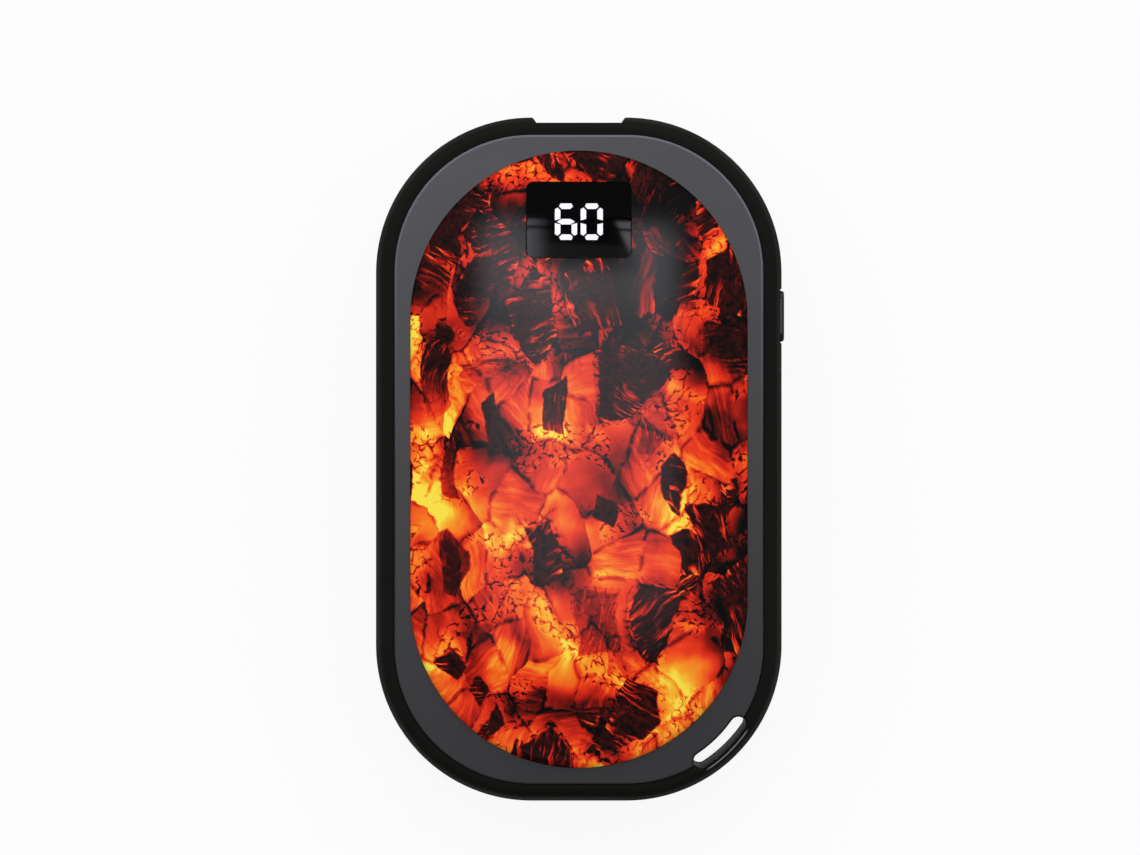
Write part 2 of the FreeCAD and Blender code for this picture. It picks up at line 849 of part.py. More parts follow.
def switch_cover():
    plate = switch_bar(switch_length / 2, switch_half_height, switch_inside, switch_front)
    half_y = plunger_length / 2 + sliding_gap
    return plate.cut(switch_bar(half_y, plunger_height / 2 + sliding_gap, switch_inside, switch_front))


def switch_plunger():
    """Plunger that the button's back face presses, with a head that the cover keeps in."""
    half_y = plunger_length / 2
    half_z = plunger_height / 2
    stem = switch_bar(half_y, half_z, plunger_front, button_back)
    head = switch_bar(half_y + plunger_shoulder, half_z + plunger_shoulder, plunger_back, plunger_front)
    return join([stem, head])


def switch_disc():
    """Snap disc behind the plunger: a thin spherical cap."""
    half = switch_half_height - switch_wall - fit_gap
    radius = (half**2 + snap_disc_height**2) / (2 * snap_disc_height)
    centre = point(switch_room + snap_disc_height - radius, button_y, middle)
    shell = Part.makeSphere(radius, centre).cut(Part.makeSphere(radius - snap_disc_thickness, centre))
    return shell.common(switch_bar(radius, radius, switch_room, switch_front))


def cell(low):
    """Pouch cell with rounded long edges."""
    body = block(0, cell_y, low, (2 * battery_half_width, cell_length, cell_thickness))

    def runs_along(edge):
        return abs(edge.BoundBox.YLength - cell_length) < SMALLEST_SIDE

    return body.makeFillet(cell_edge_radius, [edge for edge in body.Edges if runs_along(edge)])


def cell_pad():
    half = battery_half_width - cell_edge_radius
    return block(0, cell_y, battery_low + cell_thickness, (2 * half, cell_length, cell_pad_thickness))


def cell_tabs():
    """Two tabs from each cell, welded to both sides of the protection board."""
    length = terrace - board_gap
    solids = []
    for side in SIDES:
        for low in (protection_low - tab_thickness, protection_high):
            size = (tab_width, length, tab_thickness)
            solids.append(block(side * tab_x, cell_end_y + length / 2, low, size))
    return Part.makeCompound(solids)


def protection_board():
    size = (protection_width, terrace - fit_gap, protection_thickness)
    return block(0, battery_high_y - size[1] / 2, protection_low, size)


def protection_chips():
    solids = []
    for side in SIDES:
        x = side * protection_chip_spacing / 2
        solids.append(block(x, terrace_y, protection_high, protection_chip_size))
    return Part.makeCompound(solids)


def battery_socket():
    """Socket on the board, open towards the pack."""
    width, length, height = battery_socket_size
    wall = battery_socket_wall
    body = block(-battery_socket_x, battery_socket_y, board_top, battery_socket_size)
    room = (width - 2 * wall, length, height - 2 * wall)
    return body.cut(block(-battery_socket_x, battery_socket_y - wall, board_top + wall, room))


def battery_plug():
    width, length, height = battery_socket_size
    wall = battery_socket_wall + glue_gap
    size = (width - 2 * wall, battery_plug_length, height - 2 * wall)
    return block(-battery_socket_x, (plug_front + plug_back) / 2, board_top + wall, size)


def battery_leads():
    leads = []
    for side in SIDES:
        lead = Part.makeCylinder(lead_radius, plug_back - terrace_y)
        x = side * lead_pitch / 2 - battery_socket_x
        leads.append(facing_top(lead, x, terrace_y, protection_high + lead_radius))
    return Part.makeCompound(leads)


def heater_tail(x, y, low, high):
    """Flat tail of a heater film that runs to its socket."""
    return block(x, y, low, (tail_width, film_thickness, high - low))


def front_heater_film():
    film = dome_solid(film_depth, film_inset).cut(dome_solid(film_back, film_inset))
    film = between(film, -body_length, film_end)
    reach = math.hypot(tail_width / 2, film_end - panel_straight)
    top = dome_height(reach, film_depth + film_thickness / 2)
    return join([film, heater_tail(0, front_socket_y, board_top + socket_floor, top)])


def rear_heater_film():
    film = panel_prism(film_inset, rear_film_low, rear_film_high)
    film = between(film, -body_length, rear_socket_y + film_thickness / 2)
    tail = heater_tail(rear_socket_x, rear_socket_y, rear_film_low, board_bottom - socket_floor)
    return join([film, tail])


def heater_socket(x, y, low, slot_low):
    """Socket with a slot for a heater film's tail."""
    depth = heater_socket_size[2] - socket_floor
    slot = (tail_width + 2 * fit_gap, film_thickness + 2 * fit_gap, depth)
    return block(x, y, low, heater_socket_size).cut(block(x, y, slot_low, slot))


def front_heater_socket():
    return heater_socket(0, front_socket_y, board_top, board_top + socket_floor)


def rear_heater_socket():
    low = board_bottom - heater_socket_size[2]
    return heater_socket(rear_socket_x, rear_socket_y, low, low)


def front_thermistor():
    """Bead whose end follows the front film."""
    low = dome_height(thermistor_x, film_back) - thermistor_height
    bead = rod(thermistor_x, thermistor_y, low, ABOVE, thermistor_radius)
    return bead.common(dome_solid(film_back, 0))


def rear_thermistor():
    top = rear_film_high + thermistor_height
    return rod(-thermistor_x, thermistor_y, rear_film_high, top, thermistor_radius)


def front_foam():
    """Pad on the pack, crowned to meet the front film."""
    pad = between(panel_prism(foam_inset, battery_high, ABOVE), foam_low_y, cell_end_y)
    return pad.common(dome_solid(film_back + glue_gap, 0))


def rear_foam():
    return between(panel_prism(foam_inset, rear_film_high, battery_low), foam_low_y, cell_end_y)


def power_inductor():
    width, length, height = inductor_size
    top = board_top + height
    return rounded_prism(width / 2, length / 2, inductor_corner, board_top, top, inductor_x, part_row_y)


def heater_transistors():
    places = [part_row_y + side * transistor_spacing / 2 for side in SIDES]
    return Part.makeCompound([block(0, y, board_top, transistor_size) for y in places])


def board_capacitors():
    first = part_row_y - (capacitor_count - 1) / 2 * capacitor_spacing
    places = [first + index * capacitor_spacing for index in range(capacitor_count)]
    return Part.makeCompound([block(capacitor_x, y, board_top, capacitor_size) for y in places])


parts = {
    "mid_frame": mid_frame(),
    "front_bezel": front_bezel(),
    "front_panel": front_panel(),
    "front_panel_tape": panel_tape(front_pocket),
    "display_lens": display_lens(),
    "rear_cover": rear_cover(),
    "rear_panel": rear_panel(),
    "rear_panel_tape": panel_tape(rear_pocket - tape_thickness),
    "lanyard_sleeve": lanyard_sleeve(),
    "case_screws": case_screws(),
    "power_button": power_button(),
    "switch_base": switch_base(),
    "switch_cover": switch_cover(),
    "switch_plunger": switch_plunger(),
    "switch_disc": switch_disc(),
    "main_board": main_board(),
    "board_screws": board_screws(),
    "usb_shell": usb_shell(),
    "usb_tongue": usb_tongue(),
    "usb_contacts": usb_contacts(),
    "display_module": display_module(),
    "lit_segments": segments(True),
    "unlit_segments": segments(False),
    "display_board": display_board(),
    "display_spacer": display_spacer(),
    "display_pins": display_pins(),
    "lower_cell": cell(battery_low),
    "upper_cell": cell(upper_cell_low),
    "cell_pad": cell_pad(),
    "cell_tabs": cell_tabs(),
    "protection_board": protection_board(),
    "protection_chips": protection_chips(),
    "battery_socket": battery_socket(),
    "battery_plug": battery_plug(),
    "battery_leads": battery_leads(),
    "front_heater_film": front_heater_film(),
    "rear_heater_film": rear_heater_film(),
    "front_heater_socket": front_heater_socket(),
    "rear_heater_socket": rear_heater_socket(),
    "front_thermistor": front_thermistor(),
    "rear_thermistor": rear_thermistor(),
    "front_foam": front_foam(),
    "rear_foam": rear_foam(),
    "power_inductor": power_inductor(),
    "control_chip": block(0, window_y, board_top, control_chip_size),
    "charge_chip": block(-charge_chip_x, charge_chip_y, board_top, charge_chip_size),
    "heater_transistors": heater_transistors(),
    "board_capacitors": board_capacitors(),
}

os.makedirs("parts", exist_ok=True)
for name, shape in parts.items():
    shape.exportStep(f"parts/{name}.step")
    print(name, len(shape.Solids), round(shape.Volume, 2), shape.isValid())
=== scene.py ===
import math

import bpy
import numpy as np
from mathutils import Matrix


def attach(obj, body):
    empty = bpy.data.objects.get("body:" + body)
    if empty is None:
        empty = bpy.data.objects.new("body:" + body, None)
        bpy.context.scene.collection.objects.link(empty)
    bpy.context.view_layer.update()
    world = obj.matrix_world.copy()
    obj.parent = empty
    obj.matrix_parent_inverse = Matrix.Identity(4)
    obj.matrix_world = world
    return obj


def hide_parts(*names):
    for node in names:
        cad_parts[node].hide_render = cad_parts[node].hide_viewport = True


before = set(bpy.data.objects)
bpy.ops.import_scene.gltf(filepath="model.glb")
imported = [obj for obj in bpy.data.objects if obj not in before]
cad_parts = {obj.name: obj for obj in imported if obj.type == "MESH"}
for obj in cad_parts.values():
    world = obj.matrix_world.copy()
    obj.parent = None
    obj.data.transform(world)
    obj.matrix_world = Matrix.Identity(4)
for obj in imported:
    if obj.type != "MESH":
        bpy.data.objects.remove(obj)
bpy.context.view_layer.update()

bl_info = {
    "name": "Pocket hand warmer",
    "version": (1, 0, 0),
    "blender": (4, 5, 0),
    "location": "3D View > Sidebar > Hand warmer",
    "description": "Finishes a rechargeable hand warmer around its packed frame, and sets its stage",
    "category": "Object",
}

MM = 0.001
TINY = 1e-9
SMOOTH = "MapRange SMOOTHSTEP"


def linear(code):
    """Linear RGBA of an sRGB hex colour."""
    srgb = np.array([int(code[at:at + 2], 16) for at in (1, 3, 5)]) / 255
    low = srgb / 12.92
    high = ((srgb + 0.055) / 1.055) ** 2.4
    return (*np.where(srgb <= 0.04045, low, high).tolist(), 1.0)


def per_metre(size_mm):
    """Pattern scale, in repeats per metre, of a pattern whose repeat is that many millimetres."""
    return 1000.0 / size_mm


def length(label, about, millimetres):
    return bpy.props.FloatProperty(
        name=label, description=about, default=millimetres * MM, unit="LENGTH", precision=5)


def number(label, about, value):
    return bpy.props.FloatProperty(name=label, description=about, default=value, precision=3)


def angle(label, about, degrees):
    return bpy.props.FloatProperty(
        name=label, description=about, default=math.radians(degrees), subtype="ANGLE")


def colour(label, about, code):
    return bpy.props.FloatVectorProperty(
        name=label, description=about, default=linear(code), size=4, min=0, max=1, subtype="COLOR")


class PanelSizes(bpy.types.PropertyGroup):
    radius: length("Radius", "End radius of the panel's stadium outline", 24.66)
    half_straight: length("Half straight", "Half of the outline's straight sides", 20.5)
    face: length("Bezel face", "Height of the bezel's face, where the edge round starts", 20.7)
    base: length("Base", "Height of the land that is taped into the pocket", 19.25)
    rise: length("Rise", "Crown of the dome above the bezel's face", 3.0)
    edge_round: length("Edge round", "Radius of the panel's rounded edge", 1.2)
    thickness: length("Thickness", "Wall of the dome", 1.2)
    land: length("Land", "Width of the solid land round the edge", 2.6)
    window_y: length("Window place", "Centre of the display window along the body", 34.97)
    window_width: length("Window width", "Display window across the body", 15.42)
    window_height: length("Window height", "Display window along the body", 11.2)
    window_corner: length("Window corner", "Corner radius of the window", 1.05)
    window_round: length("Window edge", "Edge round of the window's opening", 0.05)
    lens_recess: length("Lens recess", "Lens below the dome", 0.35)
    lens_back: length("Lens back", "Dome to the lens's rear face", 2.05)
    lens_gap: length("Lens gap", "Gap round the lens", 0.1)
    lens_bevel: length("Lens bevel", "Bevel round the lens's edge", 0.02)
    lens_flange: length("Lens flange", "How far the flange reaches behind the panel", 0.5)


class FoamSizes(bpy.types.PropertyGroup):
    radius: length("Radius", "End radius of the foam's outline", 20.7)
    low_y: length("Lower end", "Where the foam starts along the body", -33.0)
    high_y: length("Upper end", "Where the foam ends along the body", 9.9)
    front_low: length("Front foam, low", "Top of the battery pack", 17.12)
    rear_low: length("Rear foam, low", "Rear heater film", 1.52)
    rear_high: length("Rear foam, high", "Underside of the battery pack", 4.48)
    film_depth: length("Film depth", "Dome to the inner face of the front heater film", 1.6)
    clearance: length("Clearance", "Front foam to the heater film", 0.06)
    boxy: number("Boxiness", "Power that swells the pad's round edge towards a box", 0.35)


class SlotSizes(bpy.types.PropertyGroup):
    centre_x: length("Centre across", "Centre of the corner that the slot follows", 7.0)
    centre_y: length("Centre along", "Centre of the corner that the slot follows", -27.5)
    radius: length("Radius", "Slot's centre line about that centre", 19.94)
    width: length("Width", "Clear width of the slot", 2.4)
    angle: angle("Angle", "Direction of the slot's middle", -45.7)
    half_turn: angle("Half turn", "Half of the turn between the slot's end centres", 10.85)
    # Painted shade: a black line round the slot's edge on the bezel, whole out to the first distance and gone
    # by the second
    shade_line_full: length("Bare edge", "From the slot's edge to where the lacquer starts", 0.28)
    shade_line_end: length("Lacquered edge", "From the slot's edge to where the lacquer is whole", 0.35)
    # Painted highlight on the rim along the slot's outer edge: the middle of the line, its bright core and
    # its whole width
    highlight_reach: length("Rubbed line", "From the slot's edge to the middle of the rubbed line", 0.34)
    highlight_core: length("Rubbed core", "Half of the line's bright width", 0.05)
    highlight_fade: length("Rubbed fade", "Half of the line's whole width", 0.14)


class BezelSizes(bpy.types.PropertyGroup):
    centre_x: length("Centre across", "Centre of the bezel's corners across the body", 7.0)
    centre_y: length("Centre along", "Centre of the bezel's corners along the body", 27.5)
    radius: length("Radius", "Outer radius of the bezel's corners", 20.0)
    # The edge line is a painted highlight: lighter grey along the bezel's outer edge, strongest towards the
    # top end and the right, where the light falls
    line: length("Edge line", "Width of the pale line along the bezel's outer edge", 0.36)
    line_soft: length("Line's soft edge", "Width over which that line starts", 0.1)
    line_low: length("Line's lower end", "Where the line has faded along the body", -12.0)
    line_high: length("Line's upper end", "Where the line is whole along the body", 52.0)
    line_lean: number("Line's lean", "How much further the line reaches on the right side", 0.1)


class PatternSizes(bpy.types.PropertyGroup):
    drift: length("Drift", "Width of the hot and cold areas of the print", 15.0)
    sweep: length("Sweep", "Width of the drifts' broad bends", 24.0)
    sweep_reach: length("Sweep reach", "How far the broad bends push", 6.0)
    fold: length("Fold", "Width of the drifts' small bends", 8.0)
    fold_reach: length("Fold reach", "How far the small bends push", 2.6)
    sway: length("Sway", "Width of the bends of lumps and plates", 11.0)
    sway_reach: length("Sway reach", "How far those bends push", 2.2)
    tear: length("Tear", "Width of the ragged edges of lumps and plates", 1.5)
    tear_reach: length("Tear reach", "How far the ragged edges push", 0.34)
    kink: length("Kink", "Width of the bends of the ash crackle", 1.8)
    kink_reach: length("Kink reach", "How far those bends push", 0.6)
    flow: length("Flow", "Width of the finer hot and cold areas", 5.5)
    plate: length("Plate", "Width of a large plate of crust", 8.6)
    plate_gap: length("Plate gap", "Widest gap along a large plate's edge", 1.6)
    lump: length("Lump", "Width of a glowing lump", 5.6)
    seam: length("Seam", "Width of the dark seams between lumps", 0.5)
    seam_patch: length("Seam patches", "Width of the areas that have seams", 3.0)
    chip: length("Chip", "Width of a small plate of crust", 4.4)
    chip_gap: length("Chip gap", "Widest gap along a small plate's edge", 0.7)
    least_gap: length("Least gap", "Narrowest gap along any plate's edge", 0.2)
    dry_patch: length("Dry patches", "Width of the areas of dry ash", 8.0)
    crackle: length("Crackle", "Width of one scale of the ash crackle", 1.25)
    speck: length("Speck", "Width of the specks of ash", 0.95)
    comb: length("Comb", "Spacing of the lumps' combed grain", 0.806)
    grain: length("Grain", "Spacing of the plates' grain", 0.62)
    grain_patch: length("Grain patches", "Width of the areas where the plates' grain glows", 5.0)
    cool_low: length("Warm end", "Where the print starts to cool along the body", -4.0)
    cool_high: length("Cool end", "Where the print is coolest along the body", 41.0)
    cool_left: length("Warm side", "Where the print starts to cool across the body", 12.0)
    cool_right: length("Cool side", "Where the print is coolest across the body", 26.0)
    grit: length("Moulding grit", "Grain of the moulded surfaces, drawn coarse enough to show", 0.32)


class Finishes(bpy.types.PropertyGroup):
    rim: colour("Rim", "Black ABS of the rim", "#100f0c")
    # Colour of the painted highlight line along the slot's outer edge on the rim
    slot_highlight_colour: colour("Worn edge", "Rim's edge along the slot, rubbed bright", "#7e7e80")
    bezel: colour("Bezel", "Grey of the bezels", "#282829")
    # Colour of the painted highlight along the bezel's outer edge
    edge: colour("Bezel edge", "Pale line along the bezel's outer edge", "#5b5d67")
    bush: colour("Bush", "Grey of the bush in the lanyard slot", "#6a6a6a")
    char: colour("Char", "Coldest colour of the print", "#0b0909")
    soot: colour("Soot", "Second colour of the print", "#3a100d")
    ash_red: colour("Ash red", "Third colour of the print", "#861610")
    deep_red: colour("Deep red", "Fourth colour of the print", "#cb2718")
    glow_red: colour("Glow red", "Fifth colour of the print", "#f23f1d")
    orange: colour("Orange", "Sixth colour of the print", "#fb7321")
    amber: colour("Amber", "Seventh colour of the print", "#fda42c")
    yellow: colour("Yellow", "Hottest colour of the print", "#ffe44a")
    digit: colour("Digit", "Colour of the lit digits", "#ffffff")
    plate: colour("Plate", "Anodised rear plate", "#55585d")
    floor: colour("Floor", "Studio floor", "#f4f4f3")


class StageSizes(bpy.types.PropertyGroup):
    camera_x: length("Camera across", "Camera's place across the body", -1.3)
    camera_y: length("Camera along", "Camera's place along the body", 4.66)
    camera_z: length("Camera height", "Camera's height above the rest face", 880.0)
    focal: bpy.props.FloatProperty(
        name="Focal length", description="Camera lens on a 36 mm sensor, in millimetres",
        default=185.4, min=1, subtype="DISTANCE_CAMERA")
    floor_radius: length("Floor", "Radius of the floor", 4000.0)
    floor_drop: length("Floor drop", "Floor below the rest face", 0.02)
    floor_white: number("Floor white", "Share of plain white in the floor as the camera sees it", 0.9)
    dome_slant: number("Dome slant", "How much brighter the studio is towards the body's top end", 0.9)
    box_width: length("Softbox width", "Overhead softbox across the body", 540.0)
    box_length: length("Softbox length", "Overhead softbox along the body", 570.0)
    box_height: length("Softbox height", "Overhead softbox above the rest face", 1100.0)
    box_dim: number("Softbox, dim end", "Strength of the cloth towards the body's lower end", 0.75)
    box_bright: number("Softbox, bright end", "Strength of the cloth towards the body's top end", 4.6)
    dim_y: length("Dim end", "Where the cloth starts to brighten along the body", -140.0)
    bright_y: length("Bright end", "Where the cloth is brightest along the body", 180.0)
    lean: number("Lean", "Change of strength across the cloth's middle, per metre", -2.2)
    lean_inner: length("Lean, inner", "Half width of the middle that leans in full", 70.0)
    lean_outer: length("Lean, outer", "Half width of the middle that leans at all", 120.0)
    foot_dark: length("Foot, dark", "Where the cloth is dark at its lower end", -210.0)
    foot_lit: length("Foot, lit", "Where the cloth is lit at its lower end", -150.0)
    side_lit: length("Side, lit", "Half of the cloth's evenly lit width", 200.0)
    side_dark: length("Side, dark", "Half of the cloth's lit width", 270.0)
    tilt: number("Tilt", "Slope of the softbox's end, its seam and the flag", 0.031)
    box_end: length("Softbox end", "Where its lit cloth ends along the body", 279.0)
    end_soft: length("Soft end", "Half of the width over which the cloth ends", 1.5)
    seam_y: length("Seam", "Dark seam across the softbox", 258.9)
    seam_width: length("Seam width", "Width of that seam", 7.0)
    flag_y: length("Flag", "Where the flag in front of the softbox starts along the body", 220.0)
    flag_step: length("Flag's step", "Half of the width over which it starts", 3.0)
    flag_far: length("Flag's shadow, far", "Where its shadow starts, before the flag", 80.0)
    flag_near: length("Flag's shadow, near", "Where its shadow is whole, before the flag", 40.0)
    flag_shadow: number("Flag's shadow", "Share of the light that the shadow takes", 0.895)
    flag_share: number("Flag's share", "Share of the light that the flag takes as well", 0.072)
    flag_left: length("Flag, left edge", "Middle of the flag's soft left edge", -100.0)
    left_soft: length("Flag, soft left", "Half of the width of that edge", 40.0)
    flag_right: length("Flag, right edge", "Middle of the flag's right edge at the softbox's end", 89.0)
    right_soft: length("Flag, soft right", "Half of the width of that edge", 8.0)
    right_slant: number("Flag, right slant", "Slope of the flag's right edge", 0.44)


class HandWarmer(bpy.types.PropertyGroup):
    panel: bpy.props.PointerProperty(type=PanelSizes, name="Panel", description="Front panel and lens")
    foam: bpy.props.PointerProperty(type=FoamSizes, name="Foam", description="Foam pads")
    slot: bpy.props.PointerProperty(type=SlotSizes, name="Slot", description="Lanyard slot")
    bezel: bpy.props.PointerProperty(type=BezelSizes, name="Bezel", description="Bezel's outer edge")
    pattern: bpy.props.PointerProperty(type=PatternSizes, name="Patterns", description="Pattern sizes")
    finish: bpy.props.PointerProperty(type=Finishes, name="Finishes", description="Colours")
    stage: bpy.props.PointerProperty(
        type=StageSizes, name="Stage", description="Camera, floor, studio and softbox")


def add(tree, kind, *values, stops=(), **settings):
    """Add one node of a kind, whose second word, where it has one, is its operation or interpolation.

    Values go to its inputs in order, or by name or number where they stand in a dictionary. A number or a
    colour is set, an output is linked, and a node is linked by its first output. Stops fill a colour ramp."""
    name, _, way = kind.partition(" ")
    made = tree.nodes.new("ShaderNode" + name)
    if way:
        settings["interpolation_type" if name == "MapRange" else "operation"] = way
    for setting, choice in settings.items():
        setattr(made, setting, choice)
    inputs = values[0] if values and isinstance(values[0], dict) else dict(enumerate(values))
    for socket, value in inputs.items():
        if isinstance(value, bpy.types.Node):
            value = value.outputs[0]
        if isinstance(value, bpy.types.NodeSocket):
            tree.links.new(value, made.inputs[socket])
        else:
            made.inputs[socket].default_value = value
    if stops:
        ramp = made.color_ramp.elements
        while len(ramp) < len(stops):
            ramp.new(0.5)
        for element, (place, shade) in zip(ramp, stops):
            element.position = place
            element.color = shade
    return made


def new_material(name):
    """Empty material and its node tree."""
    material = bpy.data.materials.new(name)
    material.use_nodes = True
    material.node_tree.nodes.clear()
    return material, material.node_tree


def dress(material, *names):
    """Give CAD nodes one material."""
    for name in names:
        piece = bpy.data.objects[name]
        piece.data.materials.clear()
        piece.data.materials.append(material)


def far(tree, across, along):
    """Distance over two legs: the root of the sum of their squares."""
    square = add(tree, "Math MULTIPLY_ADD", across, across, add(tree, "Math MULTIPLY", along, along))
    return add(tree, "Math SQRT", square)


def beyond(tree, value, limit):
    """How far the size of a value is past a limit, and 0 before it."""
    past = add(tree, "Math SUBTRACT", add(tree, "Math ABSOLUTE", value), limit)
    return add(tree, "Math MAXIMUM", past, 0.0)


def grain(tree, size_mm, detail=2.0):
    """Pattern of a grain size on Object coordinates."""
    place = add(tree, "TexCoord").outputs["Object"]
    return add(tree, "TexNoise", {"Vector": place, "Scale": per_metre(size_mm), "Detail": detail})


def slot_places(tree, slot):
    """Distance from the slot's centre line, its part straight out from the corner, and the turn past an end.

    The line is an arc, so the distance along it past an end is the angle past that end times the radius."""
    spot = add(tree, "TexCoord").outputs["Object"]
    near = add(tree, "VectorMath SUBTRACT", spot, (slot.centre_x, slot.centre_y, 0))
    part = add(tree, "SeparateXYZ", near).outputs
    out = add(tree, "Math SUBTRACT", far(tree, part["X"], part["Y"]), slot.radius)
    turn = add(tree, "Math SUBTRACT", add(tree, "Math ARCTAN2", part["Y"], part["X"]), slot.angle)
    past = add(tree, "Math SUBTRACT", add(tree, "Math ABSOLUTE", turn), slot.half_turn)
    end = add(tree, "Math MULTIPLY", add(tree, "Math MAXIMUM", past, 0.0), slot.radius)
    return far(tree, out, end), out, past


def painted_slot_shade(slot):
    """Mark on a finish: a painted shade line, black a little short of the slot's edge, where the edge falls
    into shade.
    """
    def mark(tree):
        edge = slot.width / 2
        off = slot_places(tree, slot)[0]
        shaded = add(tree, SMOOTH, off, edge + slot.shade_line_full, edge + slot.shade_line_end, 1.0, 0.0)
        # black of the painted shade line
        return shaded, linear("#0a0a0a")
    return mark


def painted_slot_highlight(slot, slot_highlight_colour):
    """Mark on a finish: a painted highlight, a bright line along the slot's outer edge, where the rim's
    rounded edge catches the light.
    """
    fades_from, fades_to = -0.03, 0.02  # radians past the slot's end centres

    def mark(tree):
        out, past = slot_places(tree, slot)[1:]
        off = add(tree, "Math ABSOLUTE", add(tree, "Math SUBTRACT", out, slot.width / 2 + slot.highlight_reach))
        line = add(tree, SMOOTH, off, slot.highlight_core, slot.highlight_fade, 1.0, 0.0)
        return add(tree, "Math MULTIPLY", line, add(tree, SMOOTH, past, fades_from, fades_to, 1.0, 0.0)), slot_highlight_colour
    return mark


def painted_edge_highlight(bezel, shade):
    """Mark on a finish: a painted highlight, a pale line along the bezel's outer edge, which fades from the
    top downwards as the light on the edge falls off.

    The edge is where the distance past the corners' centres, across and along, is the corners' radius."""
    def mark(tree):
        part = add(tree, "SeparateXYZ", add(tree, "TexCoord").outputs["Object"]).outputs
        out = far(tree, beyond(tree, part["Y"], bezel.centre_y), beyond(tree, part["X"], bezel.centre_x))
        inner = bezel.radius - bezel.line
        line = add(tree, SMOOTH, out, inner, inner + bezel.line_soft)
        height = add(tree, "Math MULTIPLY_ADD", part["X"], bezel.line_lean, part["Y"])
        lit = add(tree, SMOOTH, height, bezel.line_low, bezel.line_high)
        return add(tree, "Math MULTIPLY", line, lit), shade
    return mark


def moulded(name, shade, spread, rough, grit_mm, depth_mm, metal=0.0, marks=(), **sockets):
    """Solid finish whose colour, gloss and relief vary: patches of wear, and a fine grit as bump.

    The colour runs from the shade darkened by the spread to the shade lightened by it over the patches, and
    the roughness between the two values of rough over the same patches. Each mark lays a colour over one
    place."""
    patch_mm, patch_detail = 9.0, 4.0
    noise_low, noise_high = 0.3, 0.7  # most of a noise lies between them
    material, tree = new_material(name)
    patch = grain(tree, patch_mm, patch_detail)
    dark = tuple(part * (1 - spread) for part in shade[:3]) + (1,)
    light = tuple(min(1, part * (1 + spread)) for part in shade[:3]) + (1,)
    tone = add(tree, "Mix", {0: patch, 6: dark, 7: light}, data_type="RGBA").outputs[2]
    for mark in marks:
        share, over = mark(tree)
        tone = add(tree, "Mix", {0: share, 6: tone, 7: over}, data_type="RGBA").outputs[2]
    gloss = add(tree, "MapRange", patch, noise_low, noise_high, *rough)
    relief = add(tree, "Bump", {"Height": grain(tree, grit_mm), "Distance": depth_mm * MM, "Strength": 1.0})
    add(tree, "OutputMaterial", add(tree, "BsdfPrincipled", {
        "Base Color": tone, "Roughness": gloss, "Normal": relief, "Metallic": metal, **sockets}))
    return material


